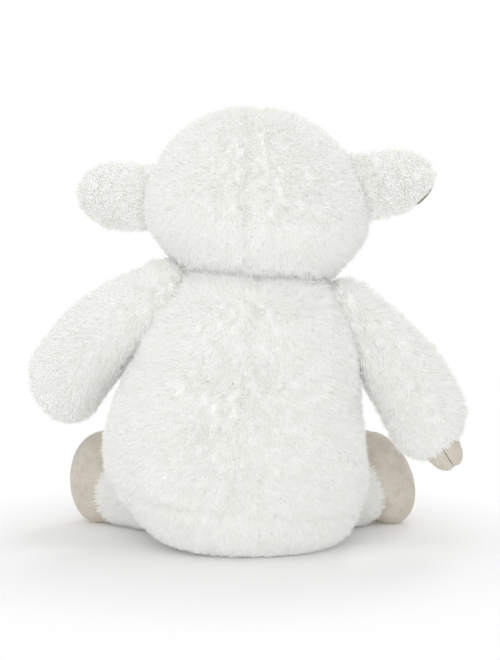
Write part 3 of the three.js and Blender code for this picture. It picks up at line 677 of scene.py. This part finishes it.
def makeTorsoInside():
    grid = ovalRings(evenly(torsoCurve, 60), around(72), torsoForm["flat"], -fillSink, torsoSag)
    grid = offFloor(toRow(tuckedUp(grid), trunk), pouchForm["floor"])
    top, over = pouchTop(grid[..., 0], grid[..., 1], fill["gap"])
    low = over & (grid[..., 2] < pouchForm["middle"][2])
    grid[..., 2] = np.where(low, top, grid[..., 2])  # the stuffing lies over the pouch
    addFill("torso_fill", grid, "torso")

    # an ellipsoid with a flat underside and radial pleats drawn to its filling hole
    wide, high = pouchForm["width"] / 2, pouchForm["height"] / 2
    t = np.linspace(-np.pi / 2, np.arccos(pouchForm["mouth"] / wide), 40)
    profile = np.stack([wide * np.cos(t), high * np.sin(t)], 1)
    a = around(112)
    grid = ovalRings(profile, a, pouchForm["flat"])
    near = np.exp(-np.maximum(profile[:, 0] - pouchForm["mouth"], 0) / pouchForm["pleatFade"]) * (t > 0)
    grid[..., 2] += pouchForm["pleat"] * near[:, None] * (np.cos(pouchForm["pleats"] * a) - 1)[None]
    grid = offFloor(grid + np.array(pouchForm["middle"]), pouchForm["floor"])
    bag = addRings("bean_pouch_cotton", grid, cottonMaterial, "torso", ["bean_pouch"], end=False)
    addWall(bag, pouchForm["cloth"])

    # pellets on a jittered lattice, each a small rounded bead of 20 faces
    rng = np.random.default_rng(31)
    step = pouchForm["beanStep"]
    axis = np.arange(-9, 10) * step
    x, y, z = np.meshgrid(axis, axis, axis, indexing="ij")
    spots = np.stack([x + (np.round(z / step) % 2) * step / 2, y, z * pouchForm["beanLayer"]], -1).reshape(-1, 3)
    jitter = pouchForm["beanJitter"]
    spots += rng.uniform(-jitter, jitter, spots.shape)
    room = np.array([wide, wide * pouchForm["flat"], high]) - pouchForm["cloth"] - pouchForm["beanMm"] * 0.62
    spots = spots[(((spots / room) ** 2).sum(1) < 1)] + np.array(pouchForm["middle"])
    spots = spots[spots[:, 2] > pouchForm["floor"] + pouchForm["cloth"] + pouchForm["beanMm"] * 0.6]
    g = (1 + math.sqrt(5)) / 2
    ball = unit(np.array([(-1, g, 0), (1, g, 0), (-1, -g, 0), (1, -g, 0), (0, -1, g), (0, 1, g), (0, -1, -g),
                          (0, 1, -g), (g, 0, -1), (g, 0, 1), (-g, 0, -1), (-g, 0, 1)], float))
    ballFaces = np.array([(0, 11, 5), (0, 5, 1), (0, 1, 7), (0, 7, 10), (0, 10, 11), (1, 5, 9), (5, 11, 4),
                          (11, 10, 2), (10, 7, 6), (7, 1, 8), (3, 9, 4), (3, 4, 2), (3, 2, 6), (3, 6, 8),
                          (3, 8, 9), (4, 9, 5), (2, 4, 11), (6, 2, 10), (8, 6, 7), (9, 8, 1)])
    size = pouchForm["beanMm"] / 2 * np.array([1, 1, pouchForm["beanFlat"]])
    verts = spots[:, None] + ball[None] * size * rng.uniform(0.9, 1.08, (len(spots), 1, 1))
    faces = (ballFaces[None] + 12 * np.arange(len(spots))[:, None, None]).reshape(-1, 3)
    addPiece("bean_pellets_loose", verts, faces, pelletPlastic, "torso", ["bean_pellets"])


makeTorsoInside()
print("stuffing and pouch made")

headForm = {
    "width": 148, "flat": 140 / 148, "rise": 72, "drop": 56, "lift": 36, "curlFrom": -3, "under": 1.0,
    "neckRadius": 30, "rows": 110, "cols": 111, "roll": -7, "shear": 0.045, "aside": -0.8,
    "cheekFrom": 28, "cheekTuck": 0.13, "neckBall": 26.5,
}
muzzleForm = {
    "width": 70, "depth": 96, "height": 60, "middle": (0, -48, 38), "wall": 2.0, "rim": 84, "swell": 0.3,
    "clear": 0.5, "fillInset": 4,
    "noseWidth": 20, "noseHeight": 13, "noseLift": 11, "noseThick": 1.5, "noseEdge": 0.35, "noseWall": 0.5,
    "stitchMm": 0.9, "stitchHigh": 0.13,
    "mouthDrop": 10, "mouthSpread": 11, "mouthLift": 0.4, "thread": 0.9,
}
muzzleHalf = np.array([muzzleForm["width"], muzzleForm["depth"], muzzleForm["height"]]) / 2
eyeForm = {
    "radius": 6.5, "dome": 4.5, "sink": 0.8, "bearing": 35, "lift": 17, "shankRadius": 1.8, "shankLength": 13,
    "washerRadius": 7.5, "washerThick": 1.6, "washerTop": -7.2, "clear": 7.6,
}


def headProfile():
    t = np.linspace(-np.pi / 2, np.pi / 2, 400)
    tall = np.where(t < 0, headForm["drop"], headForm["rise"])
    whole = np.stack([headForm["width"] / 2 * np.cos(t), headForm["lift"] + tall * np.sin(t)], 1)
    low = (headForm["cheekFrom"] - whole[:, 1]) / (headForm["cheekFrom"] - headForm["curlFrom"])
    whole[:, 0] *= 1 - headForm["cheekTuck"] * np.clip(low, 0, 1) ** 1.2  # drawn in towards the neck
    cheek = whole[whole[:, 1] > headForm["curlFrom"]]
    # the cheeks curl in below the head, up to the neck opening
    under = [(headForm["neckRadius"], headForm["under"]), (headForm["neckRadius"] + 9, headForm["curlFrom"] - 1),
             (cheek[0, 0] - 5, headForm["curlFrom"] - 3), cheek[0]]
    return np.vstack([throughPoints(under, 60)[:-1], cheek])


def eyeAxis(sign):
    # Where an eye sits on the head's ellipsoid, and its outward direction there
    b = np.radians(eyeForm["bearing"]) * sign
    half = np.array([headForm["width"] / 2, headForm["width"] / 2 * headForm["flat"], headForm["rise"]])
    ring = math.sqrt(1 - (eyeForm["lift"] / headForm["rise"]) ** 2)
    fromMiddle = np.array([half[0] * ring * np.sin(b), -half[1] * ring * np.cos(b), eyeForm["lift"]])
    return fromMiddle + [0, 0, headForm["lift"]], unit(fromMiddle / half ** 2)


def standingOn(outwards):
    # Turn that takes +Z to a direction
    sideways = unit(np.cross([0, 0, 1], outwards))
    return np.stack([sideways, np.cross(outwards, sideways), outwards], 1)


def clearOfFace(points):
    own = toOwn(points, headPlace)
    kept = np.linalg.norm((own - muzzleForm["middle"]) / (muzzleHalf + muzzleForm["clear"]), axis=1) > 1
    for sign in sideSign.values():
        at, outwards = eyeAxis(sign)
        off = own - at
        off = off - (off @ outwards)[:, None] * outwards
        kept &= (np.linalg.norm(off, axis=1) > eyeForm["clear"]) | (own[:, 1] > 0)
    return kept


def headShear(height):
    return headForm["aside"] + headForm["shear"] * (height - headForm["lift"])


def rolled(points):
    # The stuffed head sags a little to one side, turned about its own middle
    middle = np.array([0, 0, headForm["lift"]])
    return (points - middle) @ turned(y=headForm["roll"]).T + middle


def makeHead():
    profile = evenly(headProfile(), headForm["rows"])
    cols = headForm["cols"]
    for number, (name, start) in enumerate((("head_left", -90), ("head_right", 90))):
        angles = np.radians(np.linspace(start, start + 180, cols))
        grid = ovalRings(profile, angles, headForm["flat"], -pile["skinSink"], headShear)
        grid = grid - gridNormals(grid, False) * seamTuck(seamGirth(profile, angles))[..., None]
        rowGrid = toRow(rolled(grid), headPlace)
        rowGrid = stuffed(rowGrid, False, heldAt(rowGrid, [0, -1], [0, -1]))
        comb = -unit(np.gradient(rolled(grid), axis=0)) @ headPlace["turn"].T
        first, second = ("_front", "_back") if start < 0 else ("_back", "_front")
        runs = {first: slice(0, cols // 2 + 1), second: slice(cols // 2, cols)}
        coverPanel(name, rowGrid, comb, "head", 200 + 10 * number, profile[:, 1], headForm["curlFrom"], runs,
                   clearOfFace)

    grid = ovalRings(evenly(headProfile(), 56), around(72), headForm["flat"], -fillSink, headShear)
    x, z = grid[..., 0], grid[..., 2] - muzzleForm["middle"][2]
    wide, deep, tall = muzzleHalf - muzzleForm["fillInset"]
    cut = 1 - (x / wide) ** 2 - (z / tall) ** 2
    snout = muzzleForm["middle"][1] - deep * np.sqrt(np.maximum(cut, 0))
    grid[..., 1] = np.where((cut > 0) & (grid[..., 1] < 0), np.minimum(grid[..., 1], snout), grid[..., 1])
    addFill("head_fill", toRow(grid, headPlace), "head")


def makeNeck():
    # A round wad of fibre that carries the head
    t = np.linspace(-np.pi / 2, np.pi / 2, 30)
    ball = headForm["neckBall"] * np.stack([np.cos(t), np.sin(t)], 1)
    place = {"turn": trunk["turn"], "at": jointAt["head_nod"]}
    addFill("neck_fill", toRow(ovalRings(ball, around(48)), place), "neck")


def onMuzzle(x, z, raised):
    # Point of the muzzle's ellipsoid seen from the front, lifted off it
    depth = np.sqrt(np.maximum(1 - (x / muzzleHalf[0]) ** 2 - (z / muzzleHalf[2]) ** 2, 0.02))
    onIt = np.stack([x, -muzzleHalf[1] * depth, z], -1)
    return onIt + unit(onIt / muzzleHalf ** 2) * np.asarray(raised)[..., None] + np.array(muzzleForm["middle"])


def makeMuzzle():
    # Front part of an ellipsoid about the forward axis
    t = np.linspace(np.radians(muzzleForm["rim"]), 0.01, 40)
    profile = np.stack([muzzleHalf[0] * np.sin(t), muzzleHalf[1] * np.cos(t)], 1)
    grid = ovalRings(profile, around(96), muzzleForm["height"] / muzzleForm["width"]) @ turned(x=90).T
    rowGrid = toRow(grid + np.array(muzzleForm["middle"]), headPlace)
    rowGrid = stuffed(rowGrid, True, heldAt(rowGrid, 0), stuffing["fineCell"], muzzleForm["swell"])
    snout = addRings("muzzle_velour", rowGrid, hoofVelour, "head", ["muzzle"], start=False)
    addWall(snout, muzzleForm["wall"])

    # nose: rows from its point up to its broad edge, each a satin stitch wide, with the threads as fine ridges
    v = np.linspace(0, 1, 34)[:, None]
    s = np.linspace(-1, 1, 61)[None]
    broad = np.minimum(0.12 + 1.02 * v ** 0.75, 1) * np.minimum((1.04 - v) / 0.16, 1) ** 0.5
    x = muzzleForm["noseWidth"] / 2 * broad * s
    z = muzzleForm["noseLift"] + muzzleForm["noseHeight"] * (v - 0.5) + 0 * s
    crown = (1 - s ** 6) * (1 - (2 * v - 1) ** 8)
    ridges = np.cos(2 * np.pi * x / muzzleForm["stitchMm"])
    edge = muzzleForm["noseEdge"]
    raised = edge + (muzzleForm["noseThick"] - edge + muzzleForm["stitchHigh"] * ridges) * crown
    nose = addPiece("nose_stitched", toRow(onMuzzle(x, z, raised), headPlace), gridFaces(*x.shape, False),
                    threadMaterial, "head", ["nose"])
    addWall(nose, muzzleForm["noseWall"])

    # mouth: a stem that parts into two short curves, each a round thread carried along its path
    top = muzzleForm["noseLift"] - muzzleForm["noseHeight"] / 2 - muzzleForm["mouthLift"]
    fork = top - muzzleForm["mouthDrop"]
    spread = muzzleForm["mouthSpread"]
    paths = [throughPoints([(0, top), (0, fork)], 16)]
    for sign in (1, -1):
        paths.append(throughPoints([(0, fork), (sign * spread * 0.5, fork - spread / 5), (sign * spread, fork)], 24))
    verts, faces, caps, base, sides = [], [], [], 0, 10
    a = around(sides)
    for path in paths:
        line = onMuzzle(path[:, 0], path[:, 1], muzzleForm["mouthLift"] + 0 * path[:, 0])
        tangent = unit(np.gradient(line, axis=0))
        outwards = unit(line - np.array(muzzleForm["middle"]))
        sideways = unit(np.cross(tangent, outwards))
        up = np.cross(sideways, tangent)
        tube = line[:, None] + muzzleForm["thread"] * (np.cos(a)[None, :, None] * sideways[:, None]
                                                       + np.sin(a)[None, :, None] * up[:, None])
        tube = facingOut(tube)
        verts.append(tube.reshape(-1, 3))
        faces.append(gridFaces(len(line), sides, True) + base)
        caps += [[i + base for i in cap] for cap in ringCaps(len(line), sides)]
        base += len(line) * sides
    addPiece("mouth_stitched", toRow(np.vstack(verts), headPlace), np.vstack(faces), threadMaterial, "head",
             ["mouth"], caps)


def makeEye(side):
    # Button and shank as one turned profile, and a washer pressed on the shank behind the fabric, with their edges
    # broken by a few tenths of a millimetre
    at, outwards = eyeAxis(sideSign[side])
    stand = standingOn(outwards)
    t = np.linspace(0, np.pi / 2, 24)
    sides = 48
    e = eyeForm
    profile = np.vstack([
        [(0.2, -e["shankLength"]), (e["shankRadius"], -e["shankLength"] + 0.3), (e["shankRadius"], -0.6),
         (e["radius"] - 0.5, -0.5), (e["radius"], -0.1)],
        np.stack([e["radius"] * np.cos(t), e["dome"] * np.sin(t)], 1)[1:],
    ])
    grid = ovalRings(profile, around(sides), least=0.05)
    grid[..., 2] = profile[:, 1][:, None]
    button = toRow((grid - [0, 0, e["sink"]]) @ stand.T + at, headPlace)
    addRings(f"eye_{side}_button", button, eyeAbs, "head", [f"eye_{side}"])

    r, thick, bore = e["washerRadius"], e["washerThick"], e["shankRadius"] + 0.15
    section = np.array([(bore, 0.0), (r - 0.4, 0.0), (r, 0.3), (r, thick - 0.3), (r - 0.4, thick),
                        (bore + 1.6, thick), (bore, thick + 0.5), (bore, 0.0)]) + [0, e["washerTop"] - thick]
    a = around(sides)
    x, y = section[:, :1] * np.cos(a)[None], section[:, :1] * np.sin(a)[None]
    grid = np.stack([x, y, np.repeat(section[:, 1:], sides, 1)], -1)[:-1]
    ring = gridFaces(len(grid) + 1, sides, True) % (len(grid) * sides)  # closed in both directions
    washer = toRow(grid @ stand.T + at, headPlace)
    addPiece(f"eye_{side}_lock_washer", washer, ring, washerNylon, "head", [f"eye_washer_{side}"])


earForm = {
    "length": 43, "back": 4.8, "lining": 2.0, "cup": 7, "rootSink": 9, "rows": 48, "cols": 72,
    "pileLength": 0.8, "pileDensity": 1.9, "pileWidth": 0.75, "edgeShort": 0.75,
    "liningInset": 0.8, "liningGap": 0.5, "liningOut": 0.6, "combDrop": 0.15,
    "tipFrom": (0.6, 0.15), "lowFrom": (0.1, 0.3), "edgeFrom": (0.8, 0.15),  # start and width, as shares
    "left": {"width": 43, "rootWidth": 41, "fullAt": 0.5, "blunt": 2.6, "lower": 0, "liningShows": 0.8},
    "right": {"width": 42, "rootWidth": 45, "fullAt": 0.35, "blunt": 1.9, "lower": 1.5, "liningShows": 2.2},
}


def earRings(side, back, front, grow=0.0):
    # A leaf along the ear: its half width swells, then closes as a blunt curve, its long edges curl forward,
    # and each cross-section is half an oval behind and half an oval in front
    f = {**earForm, **earForm[side]}
    u = np.linspace(0, 1, f["rows"])
    out = -f["rootSink"] + (f["length"] + grow + f["rootSink"]) * u
    width, fullAt = f["width"], f["fullAt"]
    tipward = ramp(u, fullAt, 1 - fullAt)
    rootward = np.clip(1 - u / fullAt, 0, 1)
    half = (width - (width - f["rootWidth"]) * rootward ** 2) / 2 + grow
    half = np.maximum(half * (1 - tipward ** f["blunt"]) ** (1 / 1.9), 0.3)
    a = around(f["cols"])
    across = half[:, None] * np.cos(a)[None]
    thick = np.where(np.sin(a) > 0, back, front)[None] * np.sqrt(1 - 0.97 * tipward ** 4)[:, None]
    s = ramp(out, 0, f["length"] / 2)
    middle = -(f["cup"] * s ** 2 * (3 - 2 * s))[:, None] * (across / (width / 2)) ** 2
    through = middle + thick * np.sin(a)[None]
    return np.stack([sideSign[side] * np.repeat(out[:, None], f["cols"], 1), through,
                     across - f["lower"]], -1), a, u


def makeEar(side):
    place, body = places["ear_" + side], "ear_" + side
    grid, a, u = earRings(side, earForm["back"], 0.0)
    comb = np.gradient(grid, axis=0) - np.array([0, 0, earForm["combDrop"]])
    order = slice(None) if facingOut(grid) is grid else slice(None, None, -1)
    skin = toRow(grid[:, order], place)
    ear = addRings(f"ear_{side}_back_skin", skin, backingMaterial, body, [f"ear_{side}_back"])
    lowTip = ramp(u, *earForm["tipFrom"])[:, None] * ramp(-np.cos(a), *earForm["lowFrom"])[None]
    lowEdge = lowTip * ramp(-np.cos(a), *earForm["edgeFrom"])[None]
    share = (1 - earForm["edgeShort"] * lowEdge)[:, order]  # clipped short where the lining's edge shows
    behind = np.nonzero((np.sin(a) > -0.05)[order])[0]
    run = np.arange(behind[0], behind[-1] + 1)
    plantPile(f"ear_{side}_back_pile", skin[:, run], False, (comb @ place["turn"].T)[:, order][:, run], body,
              400 + sideSign[side], lengthShare=share[:, run], density=earForm["pileDensity"],
              length=earForm["pileLength"], width=earForm["pileWidth"])

    grid, _, _ = earRings(side, 0.0, earForm["lining"], -earForm["liningInset"])
    grid[..., 1] -= earForm["liningGap"]
    shift = np.array([earForm["liningOut"] * sideSign[side], 0, -1])
    grid += (lowTip * earForm[side]["liningShows"])[..., None] * shift
    lining = addRings(f"ear_{side}_lining_velour", toRow(facingOut(grid), place), earVelour, body,
                      [f"ear_{side}_lining"])


makeHead()
makeNeck()
makeMuzzle()
for side in sideSign:
    makeEye(side)
    makeEar(side)
print("head made")

armForm = {
    "flat": 25 / 28, "rootBack": 8, "rows": 70, "cols": 64, "along": turned(x=180),
    "hoof": "hand", "hoofSize": (25, 25, 34), "hoofFull": 2.15, "hoofTaper": 0.0,
    "left": {"root": 23.5, "full": 29, "fullAt": 95, "length": 123.5, "bow": 9.5, "swell": 1.3,
             "hoofTurn": -55, "hoofOut": 25, "hoofAside": 0},
    "right": {"root": 20.5, "full": 28.5, "fullAt": 92, "length": 120.5, "bow": 7, "swell": 0.5,
              "hoofTurn": 0, "hoofOut": 24.8, "hoofAside": 1.5},
}
legForm = {
    "root": 26, "full": 27, "flat": 1.0, "fullAt": 27.5, "bow": 0, "rootBack": 0, "swell": 0.5,
    "rows": 44, "cols": 64, "along": turned(x=90), "hoof": "foot", "hoofUp": 6.5,
    "left": {"length": 55, "hoofSize": (57, 45, 68), "hoofFull": 2.9, "hoofTaper": 0.0, "hoofTurn": -5,
             "hoofAhead": 47},
    "right": {"length": 59, "hoofSize": (55, 42, 72), "hoofFull": 2.4, "hoofTaper": 0.08, "hoofTurn": -20,
              "hoofAhead": 53},
}
limbPile = {"hoofClear": 0.3, "torsoClear": 11}  # where a limb's fur starts beside its hoof and inside the torso
hoofForm = {"wall": 2.2, "rows": 26, "cols": 72, "seamTuck": 0.07, "seamWide": 2.6, "seamGap": 0.15,
            "floor": 0.4, "swell": 1.2}


def limbProfile(form, count):
    # A round root about the joint, a swelling along a cubic curve, and a round end
    a = np.linspace(-np.pi / 2, 0, 40)
    fullAt, length, thick, full = (form[key] for key in ("fullAt", "length", "root", "full"))
    root = np.stack([thick * np.cos(a), thick * np.sin(a)], 1)
    t = np.linspace(0, 1, 60)[:, None]
    early = thick + (full - thick) * form["swell"]
    corners = np.array([(thick, 0), (early, fullAt / 4), (full, fullAt * 0.6), (full, fullAt)])
    swell = ((1 - t) ** 3 * corners[0] + 3 * t * (1 - t) ** 2 * corners[1] + 3 * t ** 2 * (1 - t) * corners[2]
             + t ** 3 * corners[3])
    b = np.linspace(0, np.pi / 2, 60)
    end = np.stack([full * np.cos(b), fullAt + (length - fullAt) * np.sin(b)], 1)
    return evenly(np.vstack([root[:-1], swell[:-1], end]), count)


def hoofPlace(form, side):
    # Turn and middle of a hoof in its limb's own axes
    turn = turned(x=form["hoofTurn"])
    if form["hoof"] == "hand":
        aside = sideSign[side] * form["hoofAside"]
        return turn, turn @ np.array([aside, 0, -form["hoofOut"]]) + [0, 0, -form["fullAt"]]
    return turn, np.array([0, -form["hoofAhead"], form["hoofUp"]])


def makeHoof(form, side, limb):
    # Two halves of a full ellipsoid, sewn together over the middle: each is a dome about the crosswise axis,
    # drawn in beside the seam
    turn, middle = hoofPlace(form, side)
    place = places[f"{limb}_{side}"]
    half = np.array(form["hoofSize"]) / 2
    t = np.linspace(0, np.pi / 2 - 0.02, hoofForm["rows"])
    a = around(hoofForm["cols"])
    power = 2 / form["hoofFull"]
    outX = half[0] * np.sin(t) ** power
    inward = 1 - hoofForm["seamTuck"] * np.exp(-(outX / hoofForm["seamWide"]) ** 2)
    ring = np.cos(t) ** power * inward
    dome = np.stack([np.repeat(outX[:, None], len(a), 1), half[1] * ring[:, None] * np.cos(a)[None],
                     half[2] * ring[:, None] * np.sin(a)[None]], -1)
    dome[..., :2] *= (1 - form["hoofTaper"] * dome[..., 2] / half[2])[..., None]
    for part, sign in (("outer", sideSign[side]), ("inner", -sideSign[side])):
        grid = dome * [sign, 1, 1]
        grid = grid if sign > 0 else grid[:, ::-1]
        grid[..., 0] += sign * hoofForm["seamGap"]
        rowGrid = toRow(grid @ turn.T + middle, place)
        rowGrid = stuffed(rowGrid, True, heldAt(rowGrid, 0), stuffing["fineCell"], hoofForm["swell"])
        rowGrid = offFloor(rowGrid, hoofForm["floor"])
        name = f"{form['hoof']}_{side}_hoof_{part}"
        hoof = addRings(name + "_velour", rowGrid, hoofVelour, f"{limb}_{side}", [name], start=False)
        addWall(hoof, hoofForm["wall"])


def makeLimb(limb, side, form, seed):
    place, body = places[f"{limb}_{side}"], f"{limb}_{side}"
    turn, middle = hoofPlace(form, side)
    half = np.array(form["hoofSize"]) / 2

    def bow(t):
        return sideSign[side] * form["bow"] * np.sin(np.pi * np.clip(t / form["length"], 0, 1))

    def keep(points):
        own = (toOwn(points, place) - middle) @ turn
        inHoof = np.linalg.norm(own / (half + limbPile["hoofClear"]), axis=1) < 1
        return ~inHoof & ~insideTorso(points, limbPile["torsoClear"])

    def setBack(points, t):  # the root sits a little towards the back
        points[..., 1] += (form["rootBack"] * np.clip(1 - t / form["fullAt"], 0, 1) ** 1.5)[:, None]
        return points

    profile = limbProfile(form, form["rows"])
    grid = ovalRings(profile, around(form["cols"]), form["flat"], -pile["skinSink"], bow)
    grid = grid @ form["along"].T
    rowGrid = setBack(toRow(grid, place), profile[:, 1])
    held = heldAt(rowGrid, np.r_[:form["rows"] // 8, -form["rows"] // 10:0])
    rowGrid = offFloor(stuffed(rowGrid, True, held), pile["skinFloor"])
    comb = unit(np.gradient(grid, axis=0)) @ place["turn"].T
    addSkin(f"{limb}_{side}_cover", rowGrid, body, wrap=True)
    plantPile(f"{limb}_{side}_cover_pile", rowGrid, True, comb, body, seed, keep=keep)

    profile = limbProfile(form, 40)
    grid = ovalRings(profile, around(48), form["flat"], -fillSink, bow) @ form["along"].T
    rowGrid = setBack(toRow(grid, place), profile[:, 1])
    addFill(f"{limb}_{side}_fill", offFloor(rowGrid, fill["floor"]), body)
    makeHoof(form, side, limb)


for number, side in enumerate(sideSign):
    makeLimb("arm", side, {**armForm, **armForm[side]}, 300 + number)
    makeLimb("leg", side, {**legForm, **legForm[side]}, 310 + number)
print("limbs made")

photoView = {
    "mmPerPixel": 0.677, "height": 660, "distance": 1050, "elevation": 4, "aim": (-10.8, 0, 145.7), "sensor": 36,
}


def makeCamera():
    lens = bpy.data.cameras.new("photoCamera")
    lens.sensor_width = photoView["sensor"]
    lens.lens = photoView["sensor"] * photoView["distance"] / (photoView["height"] * photoView["mmPerPixel"])
    camera = addObject("photoCamera", lens)
    up = math.radians(photoView["elevation"])
    aim = np.array(photoView["aim"])
    camera.location = (aim + photoView["distance"] * np.array([0, math.cos(up), math.sin(up)])) * mm
    camera.rotation_euler = (math.pi / 2 - up, 0, math.pi)
    scene.camera = camera


studio = {
    "world": 0.56, "aim": (0, 0, 0.15),
    # power in W, size in m, place in m
    "key": (6.4, 1.2, (0.16, 1.4, 0.75)), "top": (4.0, 1.4, (0.1, 0.2, 1.5)), "low": (2.2, 1.0, (0.05, 1.3, 0.1)),
    "front": (3.4, 0.4, (-0.5, -1.15, 0.9)),
    "floorSize": 8.0, "paper": "#fdfdfd", "shadowTo": 0.09, "whiteFrom": 0.27,
}


def seenPlainly(tree):
    # 1 for what the camera, a reflection or glass shows, 0 for what lights the object
    path = addNode(tree, "ShaderNodeLightPath")
    seen = path.outputs["Is Camera Ray"]
    for ray in ("Is Glossy Ray", "Is Transmission Ray"):
        seen = addNode(tree, "ShaderNodeMath", {0: seen, 1: path.outputs[ray]}, operation="MAXIMUM").outputs["Value"]
    return seen


def makeStudio():
    world = bpy.data.worlds.new("studio")
    world.use_nodes = True
    scene.world = world
    tree = world.node_tree
    strength = addNode(tree, "ShaderNodeMapRange", {"Value": seenPlainly(tree)},
                       {"To Min": studio["world"], "To Max": 1.0})
    back = tree.nodes["Background"]
    back.inputs["Color"].default_value = (1, 1, 1, 1)
    tree.links.new(strength.outputs["Result"], back.inputs["Strength"])

    for name in ("key", "top", "low", "front"):
        watts, size, at = studio[name]
        light = bpy.data.lights.new(name + "Softbox", "AREA")
        light.energy, light.size = watts, size
        lamp = addObject(name + "Softbox", light)
        lamp.location = at
        towards = np.array(studio["aim"]) - np.array(at)
        flat = math.hypot(towards[0], towards[1])
        lamp.rotation_euler = (math.atan2(flat, -towards[2]), 0, math.atan2(-towards[0], towards[1]))

    half = studio["floorSize"] / 2
    mesh = bpy.data.meshes.new("studioFloor")
    mesh.from_pydata([(-half, -half, 0), (half, -half, 0), (half, half, 0), (-half, half, 0)], [], [(0, 1, 2, 3)])
    floor = addObject("studioFloor", mesh)
    # White paper that keeps the shadow near the object and shows plain white further off
    material, tree, shader = newMaterial("mattPaper", Roughness=1.0, Specular_IOR_Level=0.0)
    shader.inputs["Base Color"].default_value = toLinear(studio["paper"])
    where = addNode(tree, "ShaderNodeTexCoord")
    far = addNode(tree, "ShaderNodeVectorMath", {0: where.outputs["Object"]}, operation="LENGTH")
    fade = addNode(tree, "ShaderNodeMapRange", {"Value": far.outputs["Value"]},
                   {"From Min": studio["shadowTo"], "From Max": studio["whiteFrom"]}, interpolation_type="SMOOTHSTEP")
    share = addNode(tree, "ShaderNodeMath", {0: seenPlainly(tree), 1: fade.outputs["Result"]}, operation="MULTIPLY")
    white = addNode(tree, "ShaderNodeEmission", sockets={"Color": (1, 1, 1, 1), "Strength": 1.0})
    mixed = addNode(tree, "ShaderNodeMixShader", {0: share.outputs["Value"], 1: shader.outputs["BSDF"],
                                                  2: white.outputs["Emission"]})
    tree.links.new(mixed.outputs["Shader"], tree.nodes["Material Output"].inputs["Surface"])
    mesh.materials.append(material)


makeCamera()
makeStudio()
print("studio made")
